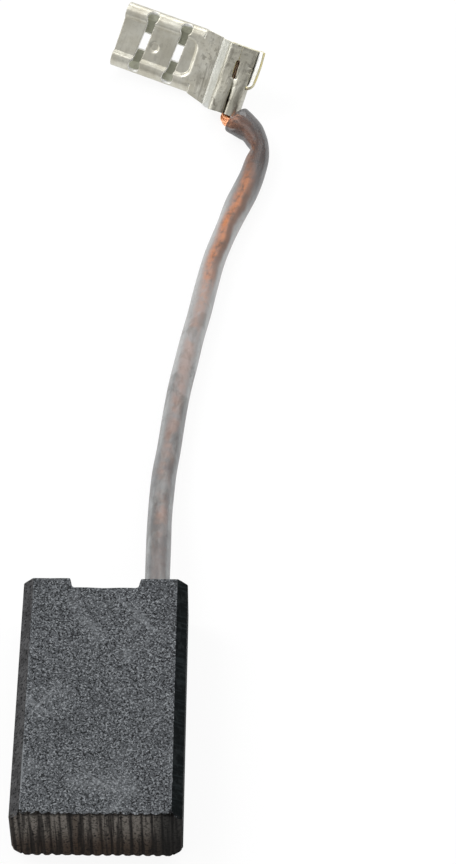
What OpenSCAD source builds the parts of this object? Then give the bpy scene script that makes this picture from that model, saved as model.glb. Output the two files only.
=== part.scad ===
// Carbon motor brush with a sleeved copper pigtail and a folded flag receptacle.
// Frame: the block lies on its broad back face at z = 0, centred on the origin.
// +Y runs from the wear face to the pigtail end, +X to the pigtail's side, +Z through
// the thickness. The receptacle has a frame of its own: u along the tab, from the mouth
// to the crimp, v across it, and w out of its back, with w = 0 on the plate's back.

/* [Carbon block] */
// Width across the broad face
body_w = 16; // [14:0.5:24]
// Length from the wear face to the pigtail end
body_l = 26.8; // [20:0.2:40]
// Thickness between the broad faces
body_t = 7.3; // [6:0.1:12]
// Chamfer along the two front long edges
front_chamfer = 1; // [0.3:0.1:1.5]
// Chamfer along the two back long edges
back_chamfer = 1.2; // [0.3:0.1:1.5]
// Width of the spring notch between the ears
notch_w = 6.8; // [3:0.1:7]
// Depth of the spring notch
notch_depth = 1.1; // [0.4:0.1:2]
// Radius in the two inner corners of the notch
notch_corner_r = 0.4; // [0.1:0.05:0.4]
// Number of bedding grooves across the wear face
groove_count = 17; // [6:1:24]
// Depth of each bedding groove
groove_depth = 0.16; // [0.05:0.01:0.3]
// Share of each pitch that stays as a flat crest
groove_crest = 0.35; // [0.1:0.05:0.7]

/* [Pigtail] */
// Diameter of the stranded copper rope
rope_d = 1.6; // [1.2:0.05:1.7]
// Outer diameter of the insulating sleeve
sleeve_d = 2.6; // [2.5:0.05:2.8]
// Wall of the insulating sleeve
sleeve_wall = 0.4; // [0.2:0.05:0.45]
// Outer diameter of the sleeve where it is stretched at its cut end
sleeve_end_d = 3.2; // [2.8:0.05:3.4]
// Distance from the block's side face to the pigtail's axis
hole_inset = 3.1; // [2.6:0.1:3.1]
// Depth of the seat that takes the sleeve's end
seat_depth = 2.5; // [1:0.1:4]
// Clearance in diameter between the sleeve and its seat
seat_clearance = 0.1; // [0.05:0.05:0.2]
// Diameter of the tamped contact plug
plug_d = 2.3; // [2:0.1:2.5]
// Length of the tamped contact plug
plug_l = 7; // [4:0.5:12]
// Depth to which the rope is tamped into the plug
rope_grip = 6; // [3:0.5:10]

/* [Receptacle] */
// Thickness of the brass sheet
sheet_t = 0.4; // [0.3:0.05:0.45]
// Width across the two rolls
receptacle_w = 7.6; // [7.2:0.1:8.2]
// Outer diameter of each roll
roll_d = 2.1; // [1.9:0.05:2.3]
// Length of the rolls
roll_l = 9.8; // [8:0.1:12]
// Thickness of the tab that the receptacle takes
tab_t = 0.8; // [0.5:0.05:0.9]
// Drop of the floor between the rolls, below the plate
floor_drop = 0.35; // [0.2:0.05:0.38]
// Length of the dropped floor, from the mouth
floor_l = 9.3; // [7:0.1:9.7]
// Gap between the free edges of the two rolls
roll_gap = 2; // [1.2:0.1:2.6]
// Width of each slot across the floor and the rolls
slot_w = 1.05; // [0.6:0.05:1.4]
// Distance from the mouth to the middle of the first slot
slot_at = 3.1; // [2:0.1:3.5]
// Distance between the middles of the two slots
slot_pitch = 4.2; // [3.4:0.1:5]
// Diameter of the detent dimple between the slots
dimple_d = 1.3; // [0.8:0.1:1.6]
// Distance from the mouth to the dimple's middle
dimple_at = 4.7; // [4.4:0.1:5.4]

/* [Crimp] */
// Distance from the mouth to the crimp's middle plane
crimp_at = 15; // [14.8:0.1:17]
// Width of the crimp barrels
barrel_w = 3.4; // [3:0.1:3.6]
// Height of the conductor barrel above the plate's back
conductor_h = 1.8; // [1.6:0.05:2.2]
// Length of the conductor barrel
conductor_l = 3.9; // [3:0.1:5]
// Height of the insulation barrel above the plate's back
insulation_h = 2.5; // [2.4:0.05:3.2]
// Length of the insulation barrel
insulation_l = 3.7; // [2.5:0.1:4.5]
// Length of the open neck between the two barrels
neck_l = 0.4; // [0.2:0.1:1]
// Distance from the tab's centre line to the conductor barrel's far end
crimp_reach = 3.5; // [3:0.1:4]
// Gap between the two wings at the seam
seam_gap = 0.25; // [0.1:0.05:0.4]
// Width of the sloped web from the plate up to the wings
web_w = 0.95; // [0.6:0.05:1.2]
// Height of the sloped web
web_h = 0.9; // [0.5:0.05:1]
// Number of ribs round the conductor barrel
rib_count = 4; // [2:1:5]
// Height of each rib
rib_h = 0.12; // [0.05:0.01:0.2]
// Width of each rib
rib_w = 0.4; // [0.2:0.05:0.6]
// Reach of the cut-off carrier stub beyond the barrel
stub_reach = 0.8; // [0.4:0.1:1.4]
// Length of the cut-off carrier stub past the conductor barrel's near end
stub_past = 0.6; // [0:0.1:1]

/* [Hidden] */
$fn = 48;
overlap = 0.01;
fit = 0.05;

half_w = body_w / 2;
half_l = body_l / 2;
hole_x = half_w - hole_inset;
hole_z = body_t / 2;
seat_d = sleeve_d + seat_clearance;
sleeve_start = half_l - seat_depth;
plug_start = sleeve_start - plug_l;

roll_r = roll_d / 2;
roll_v = receptacle_w / 2 - roll_r;
lip_v = roll_gap / 2;
lip_r = 1.9;
lip_run = 0.75;
under_v = lip_v + lip_run;
floor_half = roll_v - 0.65 * roll_r;
floor_corner_r = 1;
plate_from = floor_l - 1.5;
corner_cut = 0.3;
tab_top = -floor_drop - sheet_t;
plate_end = crimp_at - barrel_w / 2 - web_w;
lobe_r = barrel_w / 4;
conductor_v = crimp_reach - conductor_l;
insulation_v = conductor_v - neck_l - insulation_l;
stub_end = crimp_at + barrel_w / 2 + stub_reach;
stub_v = conductor_v - stub_past;
dimple_depth = 0.15;
tuck = 0.2;

// Where the receptacle lies: its mouth, and how it is turned, tilted and dipped.
terminal_at = [-1.5, 93.3, 4.6];
terminal_heading = -27;
terminal_tilt = 46;
terminal_dip = 5;

// The pigtail's free run, from the block's end face to the sleeve's cut end.
free_run = [
    [4.9, 20.5, 3.35], [4.9, 24, 2.75], [5, 27.5, 2.1], [5.2, 31, 1.65], [5.6, 34.5, 1.4],
    [6, 38.5, 1.35], [6.5, 42.5, 1.35], [7.1, 46, 1.35], [7.7, 49.5, 1.35], [8.4, 53, 1.35],
    [9.1, 57, 1.35], [9.9, 61, 1.35], [10.9, 64.5, 1.35], [12, 68, 1.35], [13.2, 71.2, 1.35],
    [14.2, 74, 1.4], [14.7, 76.3, 1.5], [14.6, 78.4, 1.6], [14, 80.2, 1.6], [13.1, 81.5, 1.6]
];
sleeve_end = [12.4, 82.3, 1.6];
// The bare rope's turn from the sleeve up into the crimp, and its squeezed radius there.
bare_run = [
    [12.05, 82.2, 1.25], [11.7, 82.35, 1], [11.35, 82.6, 0.85], [11.1, 82.9, 0.72], [10.95, 83.25, 0.7]
];
bare_r = 0.4 * rope_d;

// ---- points and sweeps ----

function turned_x(p, a) = [p[0], p[1] * cos(a) - p[2] * sin(a), p[1] * sin(a) + p[2] * cos(a)];
function turned_y(p, a) = [p[0] * cos(a) + p[2] * sin(a), p[1], p[2] * cos(a) - p[0] * sin(a)];
function turned_z(p, a) = [p[0] * cos(a) - p[1] * sin(a), p[0] * sin(a) + p[1] * cos(a), p[2]];
// A point of the receptacle's own frame, in the block's frame.
function from_terminal(p) =
    terminal_at
    + turned_z(turned_x(turned_y(p, terminal_dip), terminal_tilt), terminal_heading);

function unit(p) = p / norm(p);
function along(route, i) =
    unit(route[min(i + 1, len(route) - 1)] - route[max(i - 1, 0)]);
function sideways(t) = unit(cross(t, [0, 0, 1]));
// One eight-sided ring square to the route at its point i.
function ring(route, i, r) =
    let (t = along(route, i), s = sideways(t), l = cross(s, t))
    [for (k = [0:7]) route[i] + r * (cos(22.5 + 45 * k) * s + sin(22.5 + 45 * k) * l)];
function rings(route, radii) =
    [for (i = [0:len(route) - 1]) each ring(route, i, radii[i])];
// Side faces between ring a and ring b, each named by its first point.
function band(a, b) = [for (k = [0:7]) [a + k, a + (k + 1) % 8, b + (k + 1) % 8, b + k]];
function bands(first, n) = [for (i = [0:n - 2]) each band(first + 8 * i, first + 8 * (i + 1))];
function flipped(faces) = [for (f = faces) [for (k = [len(f) - 1:-1:0]) f[k]]];

// A solid cord swept along a route.
module cord(route, radii) {
    n = len(route);
    polyhedron(
        points = rings(route, radii),
        faces = concat(
            bands(0, n),
            [[for (k = [7:-1:0]) k]],
            [[for (k = [0:7]) 8 * (n - 1) + k]]
        )
    );
}

// A hollow hose swept along a route.
module hose(route, outer, inner) {
    n = len(route);
    polyhedron(
        points = concat(rings(route, outer), rings(route, inner)),
        faces = concat(
            bands(0, n),
            flipped(bands(8 * n, n)),
            flipped(band(0, 8 * n)),
            band(8 * (n - 1), 8 * (2 * n - 1))
        )
    );
}

// ---- carbon block ----

// One ridge and groove of the wear face, as points from left to right.
function groove_points(i) =
    let (pitch = body_w / groove_count, x = -half_w + i * pitch, crest = pitch * groove_crest)
    [
        [x + (pitch - crest) / 2, -half_l],
        [x + (pitch + crest) / 2, -half_l],
        [x + pitch, -half_l + groove_depth]
    ];

module block_outline() {
    polygon(concat(
        [[-half_w, half_l], [-half_w, -half_l + groove_depth]],
        [for (i = [0:groove_count - 1]) each groove_points(i)],
        [[half_w, half_l]]
    ));
}

// The notch between the ears, with rounded inner corners.
module notch_outline() {
    r = notch_corner_r;
    translate([-notch_w / 2, half_l - notch_depth + r])
        square([notch_w, notch_depth]);
    translate([-notch_w / 2 + r, half_l - notch_depth])
        square([notch_w - 2 * r, notch_depth]);
    for (side = [-1, 1])
        translate([side * (notch_w / 2 - r), half_l - notch_depth + r])
            circle(r);
}

// The block's section across its length, with its four long edges chamfered.
module chamfered_section() {
    polygon([
        [-half_w + back_chamfer, 0], [half_w - back_chamfer, 0],
        [half_w, back_chamfer], [half_w, body_t - front_chamfer],
        [half_w - front_chamfer, body_t], [-half_w + front_chamfer, body_t],
        [-half_w, body_t - front_chamfer], [-half_w, back_chamfer]
    ]);
}

module pigtail_hole() {
    translate([hole_x, sleeve_start, hole_z]) rotate([-90, 0, 0])
        cylinder(h = seat_depth + 1, d = seat_d);
    translate([hole_x, plug_start, hole_z]) rotate([-90, 0, 0])
        cylinder(h = plug_l + overlap, d = plug_d);
}

module carbon_block() {
    color("#505356")
    difference() {
        intersection() {
            linear_extrude(body_t) difference() {
                block_outline();
                notch_outline();
            }
            translate([0, half_l, 0]) rotate([90, 0, 0])
                linear_extrude(body_l) chamfered_section();
        }
        pigtail_hole();
    }
}

// Copper-graphite powder, tamped round the rope's end in its hole.
module contact_plug() {
    color("#7a5a48")
    translate([hole_x, plug_start, hole_z]) rotate([-90, 0, 0]) difference() {
        cylinder(h = plug_l, d = plug_d);
        translate([0, 0, plug_l - rope_grip])
            cylinder(h = rope_grip + 1, d = rope_d + fit);
    }
}

// ---- pigtail ----

// The straight start of the pigtail, at a distance from the block's end face.
function exit_point(y) = [hole_x, half_l + y, hole_z];

sleeve_route = concat([exit_point(-seat_depth), exit_point(0), exit_point(3.5)], free_run, [sleeve_end]);
function sleeve_r(i) =
    let (from_end = len(sleeve_route) - 1 - i)
    sleeve_d / 2 + max(0, 1 - from_end / 4) * (sleeve_end_d - sleeve_d) / 2;

module insulating_sleeve() {
    outer = [for (i = [0:len(sleeve_route) - 1]) sleeve_r(i)];
    color("#b4b2b0")
    hose(sleeve_route, outer, [for (r = outer) r - sleeve_wall]);
}

// The rope's axis in the crimp, from its mouth to the start of the pressed end.
crimp_axis_w = bare_r + fit;
crimp_axis_u = crimp_at + 0.35;
crimp_run = [
    from_terminal([crimp_axis_u, insulation_v - 0.25, crimp_axis_w]),
    from_terminal([crimp_axis_u, insulation_v + 0.2, crimp_axis_w]),
    from_terminal([crimp_axis_u, conductor_v - fit, crimp_axis_w])
];
rope_route = concat([exit_point(-seat_depth - rope_grip)], sleeve_route, bare_run, crimp_run);
function rope_r(i) = i > len(sleeve_route) ? bare_r : rope_d / 2;

// The rope's crimped end, pressed to the inside of the conductor barrel.
module pressed_rope() {
    lobe_at = conductor_h - lobe_r;
    inner_r = lobe_r - sheet_t - fit / 2;
    half = barrel_w / 2 - sheet_t - fit / 2;
    foot = lobe_at - tuck - fit / 2;
    translate([-half, 0]) square([2 * half, foot]);
    for (side = [-1, 1]) translate([side * lobe_r, 0]) {
        translate([-inner_r, 0]) square([2 * inner_r, lobe_at]);
        translate([0, lobe_at]) circle(inner_r);
    }
}

module copper_rope() {
    color("#b5643c") {
        cord(rope_route, [for (i = [0:len(rope_route) - 1]) rope_r(i)]);
        placed_on_terminal() along_crimp(conductor_v - neck_l / 2, conductor_l + neck_l)
            pressed_rope();
    }
}

// ---- flag receptacle, one folded sheet ----

module placed_on_terminal() {
    translate(terminal_at) rotate([0, 0, terminal_heading]) rotate([terminal_tilt, 0, 0])
        rotate([0, terminal_dip, 0]) children();
}

// Carries a section drawn in v and w along u.
module along_tab(from, length) {
    translate([from, 0, 0]) rotate([90, 0, 90]) linear_extrude(length) children();
}

// Carries a section drawn in u and w, about the crimp's middle, along v.
module along_crimp(from, length) {
    translate([crimp_at, from + length, 0]) rotate([90, 0, 0]) linear_extrude(length) children();
}

// Half of the receptacle's section: a roll that curls under and lifts its lip to the tab.
module roll_section() {
    lip_top = tab_top - tab_t;
    difference() {
        translate([roll_v, -roll_r]) circle(roll_r);
        translate([roll_v, -roll_r]) circle(roll_r - sheet_t);
        translate([0, -2 * roll_d]) square([roll_v, 2 * roll_d + tab_top]);
    }
    translate([under_v, -roll_d]) square([roll_v - under_v + overlap, sheet_t]);
    intersection() {
        translate([under_v, lip_r - roll_d]) difference() {
            circle(lip_r);
            circle(lip_r - sheet_t);
        }
        translate([lip_v, -roll_d - 1]) square([under_v - lip_v + overlap, roll_d + 1 + lip_top]);
    }
}

// The dropped floor as seen from its back, with rounded corners at its blind end.
module floor_outline(grow) {
    half = floor_half + grow;
    r = floor_corner_r + grow;
    translate([0, -half]) square([floor_l - floor_corner_r, 2 * half]);
    translate([0, -half + r]) square([floor_l + grow, 2 * (half - r)]);
    for (side = [-1, 1]) translate([floor_l + grow - r, side * (half - r)]) circle(r);
}

// The flat plate between the rolls and the crimp, with the floor's place left out.
module plate_outline() {
    difference() {
        polygon([
            [plate_from, roll_v], [roll_l, receptacle_w / 2], [plate_end, crimp_reach],
            [stub_end, crimp_reach], [stub_end, stub_v + stub_reach], [stub_end - stub_reach / 2, stub_v],
            [crimp_at + barrel_w / 2, stub_v], [crimp_at + barrel_w / 2, insulation_v],
            [plate_end + corner_cut, insulation_v], [plate_end, insulation_v + corner_cut],
            [roll_l, -receptacle_w / 2], [plate_from, -roll_v]
        ]);
        floor_outline(0);
    }
}

// A slot with round ends, cut through the floor and over the crown of both rolls.
module slot_cut(at) {
    reach = receptacle_w / 2 - 0.1;
    translate([at, 0, -roll_r]) linear_extrude(roll_d) {
        translate([-slot_w / 2, -reach + slot_w / 2]) square([slot_w, 2 * reach - slot_w]);
        for (side = [-1, 1]) translate([0, side * (reach - slot_w / 2)]) circle(d = slot_w);
    }
}

module receptacle() {
    difference() {
        union() {
            for (side = [0, 1]) mirror([0, side, 0]) along_tab(0, roll_l) roll_section();
            translate([0, 0, tab_top]) linear_extrude(sheet_t) floor_outline(0.2);
            translate([0, 0, -sheet_t]) linear_extrude(sheet_t) plate_outline();
        }
        for (i = [0, 1]) slot_cut(slot_at + i * slot_pitch);
        translate([dimple_at, 0, -floor_drop - dimple_depth])
            cylinder(h = 1, d = dimple_d);
    }
    translate([dimple_at, 0, tab_top - dimple_depth])
        cylinder(h = sheet_t, d = dimple_d - sheet_t);
}

// Both wings of a barrel: up from the floor or the web, over two lobes and down at the seam.
module wing_section(height, grow) {
    lobe_at = height - lobe_r;
    r = lobe_r + grow;
    half = barrel_w / 2 + grow;
    difference() {
        union() {
            for (side = [-1, 1]) translate([side * lobe_r, lobe_at]) circle(r);
            translate([-half, -sheet_t]) square([2 * half, lobe_at + sheet_t]);
        }
        for (side = [-1, 1]) {
            translate([side * lobe_r, lobe_at]) circle(lobe_r - sheet_t);
            translate([side * lobe_r, lobe_at - tuck]) translate([-lobe_r + sheet_t, 0])
                square([2 * (lobe_r - sheet_t), tuck]);
        }
        translate([-barrel_w / 2 + sheet_t, 0])
            square([barrel_w - 2 * sheet_t, lobe_at - tuck]);
        translate([-seam_gap / 2, 0]) square([seam_gap, height + 1]);
    }
}

// The sloped web that lifts the sheet from the plate to the wings.
module web_section() {
    left = -barrel_w / 2;
    polygon([
        [left - web_w, -sheet_t], [left - web_w, 0], [left, web_h], [left + sheet_t, web_h],
        [left + sheet_t, web_h - sheet_t], [left - web_w + sheet_t, -sheet_t]
    ]);
}

module crimp() {
    rib_pitch = conductor_l / (rib_count + 0.5);
    along_crimp(conductor_v, conductor_l) wing_section(conductor_h, 0);
    for (i = [0:rib_count - 1])
        along_crimp(conductor_v + (i + 0.6) * rib_pitch, rib_w) wing_section(conductor_h, rib_h);
    along_crimp(insulation_v, insulation_l) wing_section(insulation_h, 0);
    along_crimp(insulation_v, insulation_l + neck_l + conductor_l) web_section();
}

module flag_terminal() {
    color("#a09a8c")
    placed_on_terminal() {
        receptacle();
        crimp();
    }
}

carbon_block();
contact_plug();
copper_rope();
insulating_sleeve();
flag_terminal();
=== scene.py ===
"""Dresses a carbon motor brush: block, sleeved copper pigtail and folded flag terminal.

Lengths inside the classes are millimetres in the part's frame; meshes are put down in metres.
"""

import logging
import math
from dataclasses import dataclass, field
from enum import Enum

import bpy
import numpy as np
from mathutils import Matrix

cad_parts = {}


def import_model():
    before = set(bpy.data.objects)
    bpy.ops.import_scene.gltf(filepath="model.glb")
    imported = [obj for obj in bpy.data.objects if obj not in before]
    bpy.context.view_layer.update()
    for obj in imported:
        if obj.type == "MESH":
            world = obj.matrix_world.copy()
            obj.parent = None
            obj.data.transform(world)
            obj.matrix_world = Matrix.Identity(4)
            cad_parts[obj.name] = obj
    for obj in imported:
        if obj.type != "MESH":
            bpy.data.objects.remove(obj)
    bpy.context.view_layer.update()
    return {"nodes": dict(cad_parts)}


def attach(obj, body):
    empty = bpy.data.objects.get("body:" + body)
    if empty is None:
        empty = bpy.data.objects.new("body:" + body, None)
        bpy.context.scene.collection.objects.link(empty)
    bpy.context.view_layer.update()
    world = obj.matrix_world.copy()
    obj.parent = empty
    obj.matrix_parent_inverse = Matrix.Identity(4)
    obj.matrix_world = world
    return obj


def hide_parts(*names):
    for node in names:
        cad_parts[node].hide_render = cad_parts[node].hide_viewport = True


LOG = logging.getLogger("carbon_brush")
MM = 0.001
Array = np.ndarray
Colour = tuple[float, float, float]
Point = tuple[float, float, float]
Socket = bpy.types.NodeSocket
Material = bpy.types.Material
Piece = bpy.types.Object


# ---------------------------------------------------------------- shared geometry


def smoothstep(low: float, high: float, x: Array) -> Array:
    """Eases from 0 at low to 1 at high along 3t squared minus 2t cubed.

    Args:
        low: Value where the step starts.
        high: Value where the step ends.
        x: Values to ease.

    Returns:
        The eased values, from 0 to 1.
    """
    t = np.clip((np.asarray(x, float) - low) / (high - low), 0.0, 1.0)
    return t * t * (3.0 - 2.0 * t)


def wobble(x: Array, y: Array, seed: int, waves: int = 9, scale: float = 1.0) -> Array:
    """Sums sine waves of seeded random direction, pitch and phase.

    Args:
        x: First coordinate.
        y: Second coordinate.
        seed: Seed of the waves.
        waves: Number of waves.
        scale: Mean number of radians per unit length.

    Returns:
        Values of about -1 to 1.
    """
    rng = np.random.default_rng(seed)
    turn = rng.uniform(0, 2 * math.pi, waves)
    pitch = scale * rng.uniform(0.5, 1.9, waves)
    phase = rng.uniform(0, 2 * math.pi, waves)
    x, y = np.broadcast_arrays(np.asarray(x, float), np.asarray(y, float))
    arg = x[..., None] * pitch * np.cos(turn) + y[..., None] * pitch * np.sin(turn) + phase
    return np.sin(arg).sum(-1) / math.sqrt(waves)


def smooth_path(points: Array, step: float) -> Array:
    """Carries a Catmull-Rom curve through points and lays samples at equal arc lengths.

    Args:
        points: Points the curve passes through, n by 3.
        step: Distance between samples.

    Returns:
        The samples, m by 3, ends included.
    """
    p = np.vstack([2 * points[0] - points[1], points, 2 * points[-1] - points[-2]])
    t = np.linspace(0, 1, 24, endpoint=False)[None, :, None]
    a, b, c, d = (p[i : len(p) - 3 + i, None, :] for i in range(4))
    curve = 0.5 * (
        2 * b + (c - a) * t + (2 * a - 5 * b + 4 * c - d) * t**2 + (3 * b - a - 3 * c + d) * t**3
    )
    curve = np.vstack([curve.reshape(-1, 3), points[-1]])
    run = np.concatenate([[0.0], np.cumsum(np.linalg.norm(np.diff(curve, axis=0), axis=1))])
    at = np.linspace(0, run[-1], max(2, int(round(run[-1] / step)) + 1))
    return np.stack([np.interp(at, run, curve[:, k]) for k in range(3)], axis=1)


def path_frames(path: Array) -> tuple[Array, Array, Array]:
    """Gives each sample its unit tangent, its level sideways direction and their cross product.

    Args:
        path: Samples of a path that never runs straight up, n by 3.

    Returns:
        Tangents, sideways directions and lifts, each n by 3.
    """
    tangent = np.gradient(path, axis=0)
    tangent /= np.linalg.norm(tangent, axis=1, keepdims=True)
    side = np.cross(tangent, [0.0, 0.0, 1.0])
    side /= np.linalg.norm(side, axis=1, keepdims=True)
    return tangent, side, np.cross(side, tangent)


def arc_length(path: Array) -> Array:
    """Returns the distance along a path at each of its samples."""
    return np.concatenate([[0.0], np.cumsum(np.linalg.norm(np.diff(path, axis=0), axis=1))])


def arc_points(centre: tuple[float, float], radius: float, start: float, end: float, n: int) -> Array:
    """Places points on a circle: centre plus radius times cosine and sine of the angle.

    Args:
        centre: Middle of the circle.
        radius: Its radius.
        start: First angle in degrees.
        end: Last angle in degrees.
        n: Number of points.

    Returns:
        The points, n by 2.
    """
    a = np.radians(np.linspace(start, end, n))
    return np.stack([centre[0] + radius * np.cos(a), centre[1] + radius * np.sin(a)], axis=1)


def grid_faces(rows: int, cols: int, close_cols: bool = False, close_rows: bool = False) -> Array:
    """Joins a grid of points, laid out row by row, into quads.

    Args:
        rows: Number of rows of points.
        cols: Number of columns of points.
        close_cols: Whether the last column meets the first.
        close_rows: Whether the last row meets the first.

    Returns:
        Vertex numbers, one quad per line.
    """
    r = np.arange(rows if close_rows else rows - 1)[:, None]
    c = np.arange(cols if close_cols else cols - 1)[None, :]
    r2, c2 = (r + 1) % rows, (c + 1) % cols
    quads = np.stack([r * cols + c, r * cols + c2, r2 * cols + c2, r2 * cols + c], axis=-1)
    return quads.reshape(-1, 4)


@dataclass
class Surface:
    """Points, quads, UVs and material numbers gathered for one piece."""

    points: list[Array] = field(default_factory=list)
    quads: list[Array] = field(default_factory=list)
    uvs: list[Array] = field(default_factory=list)
    slots: list[Array] = field(default_factory=list)
    count: int = 0

    def add(
        self, points: Array, quads: Array, uv: Array | None = None, slots: Array | None = None
    ) -> None:
        """Adds one patch.

        Args:
            points: Its points in millimetres, n by 3.
            quads: Its quads, m by 4, counted from its own first point.
            uv: Its UV coordinates per point, n by 2, or none.
            slots: Number of each quad's material, or none where all have the first.
        """
        points = points.reshape(-1, 3)
        self.points.append(points)
        self.quads.append(quads + self.count)
        self.uvs.append(np.zeros((len(points), 2)) if uv is None else uv.reshape(-1, 2))
        self.slots.append(np.zeros(len(quads), dtype=np.int32) if slots is None else slots)
        self.count += len(points)

    def build(self, name: str, materials: list[Material], sharp: float) -> Piece:
        """Makes the piece, in metres, with smooth shading broken at sharp edges.

        Args:
            name: Name of the piece.
            materials: Its materials in the order of their numbers.
            sharp: Angle in degrees above which an edge stays sharp.

        Returns:
            The new object, riding on the part's one body.
        """
        points, quads = np.vstack(self.points), np.vstack(self.quads)
        used, renumbered = np.unique(quads, return_inverse=True)
        quads = renumbered.reshape(quads.shape)
        points, uv = points[used], np.vstack(self.uvs)[used]
        mesh = bpy.data.meshes.new(name)
        mesh.from_pydata((points * MM).tolist(), [], quads.tolist())
        layer = mesh.uv_layers.new(name="UVMap")
        loops = np.empty(len(mesh.loops), dtype=np.int32)
        mesh.loops.foreach_get("vertex_index", loops)
        layer.data.foreach_set("uv", uv[loops].astype(np.float32).ravel())
        for material in materials:
            mesh.materials.append(material)
        mesh.polygons.foreach_set("material_index", np.concatenate(self.slots))
        mesh.polygons.foreach_set("use_smooth", np.ones(len(mesh.polygons), dtype=bool))
        mesh.set_sharp_from_angle(angle=math.radians(sharp))
        mesh.update()
        piece = bpy.data.objects.new(name, mesh)
        bpy.context.scene.collection.objects.link(piece)
        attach(piece, "root")
        LOG.info("%s: %d points, %d faces", name, len(points), len(quads))
        return piece


# ---------------------------------------------------------------- finishes


class Pattern(Enum):
    """Coordinates that a pattern is laid on."""

    OBJECT = "Object"
    UV = "UV"


class NodeBench:
    """Lays out the nodes of one material."""

    def __init__(self, name: str) -> None:
        """Starts a material with one Principled shader.

        Args:
            name: Name of the material.
        """
        self.material = bpy.data.materials.new(name)
        self.material.use_nodes = True
        self.tree = self.material.node_tree
        self.shader = self.tree.nodes["Principled BSDF"]

    def node(self, kind: str, **settings: object) -> bpy.types.Node:
        """Adds a node.

        Args:
            kind: Its type.
            settings: Its properties by name.

        Returns:
            The node.
        """
        made = self.tree.nodes.new(kind)
        for key, value in settings.items():
            setattr(made, key, value)
        return made

    def link(self, source: Socket, target: Socket) -> None:
        """Joins two sockets."""
        self.tree.links.new(source, target)

    def coordinates(
        self, pattern: Pattern, scale: Point = (1.0, 1.0, 1.0), turn: Point = (0.0, 0.0, 0.0)
    ) -> Socket:
        """Gives turned, then stretched coordinates.

        Args:
            pattern: Coordinates to start from.
            scale: Factor along each axis of the turned pattern.
            turn: Turn of the pattern about each axis in degrees.

        Returns:
            The vector socket.
        """
        mapping = self.node("ShaderNodeMapping", vector_type="TEXTURE")
        mapping.inputs["Scale"].default_value = tuple(1.0 / k for k in scale)
        mapping.inputs["Rotation"].default_value = tuple(math.radians(a) for a in turn)
        self.link(self.node("ShaderNodeTexCoord").outputs[pattern.value], mapping.inputs["Vector"])
        return mapping.outputs["Vector"]

    def parts(self, pattern: Pattern) -> tuple[Socket, ...]:
        """Splits plain coordinates.

        Args:
            pattern: Coordinates to split.

        Returns:
            The sockets of X, Y and Z.
        """
        split = self.node("ShaderNodeSeparateXYZ")
        self.link(self.coordinates(pattern), split.inputs[0])
        return tuple(split.outputs)

    def noise(
        self, vector: Socket, scale: float, detail: float = 2.0, rough: float = 0.5, warp: float = 0.0
    ) -> Socket:
        """Adds fractal noise.

        Args:
            vector: Coordinates that it lies on.
            scale: Cells per unit length.
            detail: Number of finer octaves.
            rough: Share that each octave keeps.
            warp: Distortion of the cells.

        Returns:
            The value socket, near 0.5 on average.
        """
        made = self.node("ShaderNodeTexNoise")
        made.inputs["Scale"].default_value = scale
        made.inputs["Detail"].default_value = detail
        made.inputs["Roughness"].default_value = rough
        made.inputs["Distortion"].default_value = warp
        self.link(vector, made.inputs["Vector"])
        return made.outputs["Fac"]

    def ramp(self, value: Socket, low: float, high: float) -> Socket:
        """Stretches a value, smoothly and clamped.

        Args:
            value: The value.
            low: Where the result is 0. It may be more than high.
            high: Where the result is 1.

        Returns:
            The result's socket.
        """
        made = self.node("ShaderNodeMapRange", interpolation_type="SMOOTHSTEP")
        made.inputs["From Min"].default_value = low
        made.inputs["From Max"].default_value = high
        self.link(value, made.inputs["Value"])
        return made.outputs["Result"]

    def reckon(self, operation: str, a: Socket, b: Socket | float = 0.0) -> Socket:
        """Adds a Math node.

        Args:
            operation: Its operation.
            a: First value.
            b: Second value or number, which an operation on one value ignores.

        Returns:
            The result's socket.
        """
        made = self.node("ShaderNodeMath", operation=operation)
        self.link(a, made.inputs[0])
        if isinstance(b, (int, float)):
            made.inputs[1].default_value = b
        else:
            self.link(b, made.inputs[1])
        return made.outputs[0]

    def product(self, value: Socket, *factors: Socket | float) -> Socket:
        """Multiplies a value by each factor in turn.

        Args:
            value: The value.
            factors: Sockets or numbers.

        Returns:
            The product's socket.
        """
        for factor in factors:
            value = self.reckon("MULTIPLY", value, factor)
        return value

    def away(self, value: Socket, middle: float) -> Socket:
        """Gives a value's distance from a number."""
        return self.reckon("ABSOLUTE", self.reckon("SUBTRACT", value, middle))

    def mix(self, factor: Socket, a: Socket | Colour, b: Socket | Colour) -> Socket:
        """Mixes two colours by a factor.

        Args:
            factor: Share of the second colour.
            a: First colour or its socket.
            b: Second colour or its socket.

        Returns:
            The colour socket.
        """
        made = self.node("ShaderNodeMix", data_type="RGBA")
        self.link(factor, made.inputs[0])
        for socket, value in ((made.inputs[6], a), (made.inputs[7], b)):
            if isinstance(value, tuple):
                socket.default_value = (*value, 1.0)
            else:
                self.link(value, socket)
        return made.outputs[2]

    def coats(self, ground: Socket | Colour, *coats: tuple[Colour, Socket, float]) -> Socket:
        """Lays colours over a ground in turn, each by its share times its strength.

        Args:
            ground: Colour to start from, or its socket.
            coats: Colour, share and strength of each coat.

        Returns:
            The colour socket.
        """
        for colour, share, strength in coats:
            ground = self.mix(self.product(share, strength), ground, colour)
        return ground

    def bump(self, height: Socket, depth: float, strength: float = 1.0) -> Socket:
        """Adds a bump.

        Args:
            height: Height from 0 to 1.
            depth: Its depth in metres.
            strength: Share of the bump that shows.

        Returns:
            The normal socket.
        """
        made = self.node("ShaderNodeBump")
        made.inputs["Strength"].default_value = strength
        made.inputs["Distance"].default_value = depth
        self.link(height, made.inputs["Height"])
        return made.outputs["Normal"]

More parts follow.
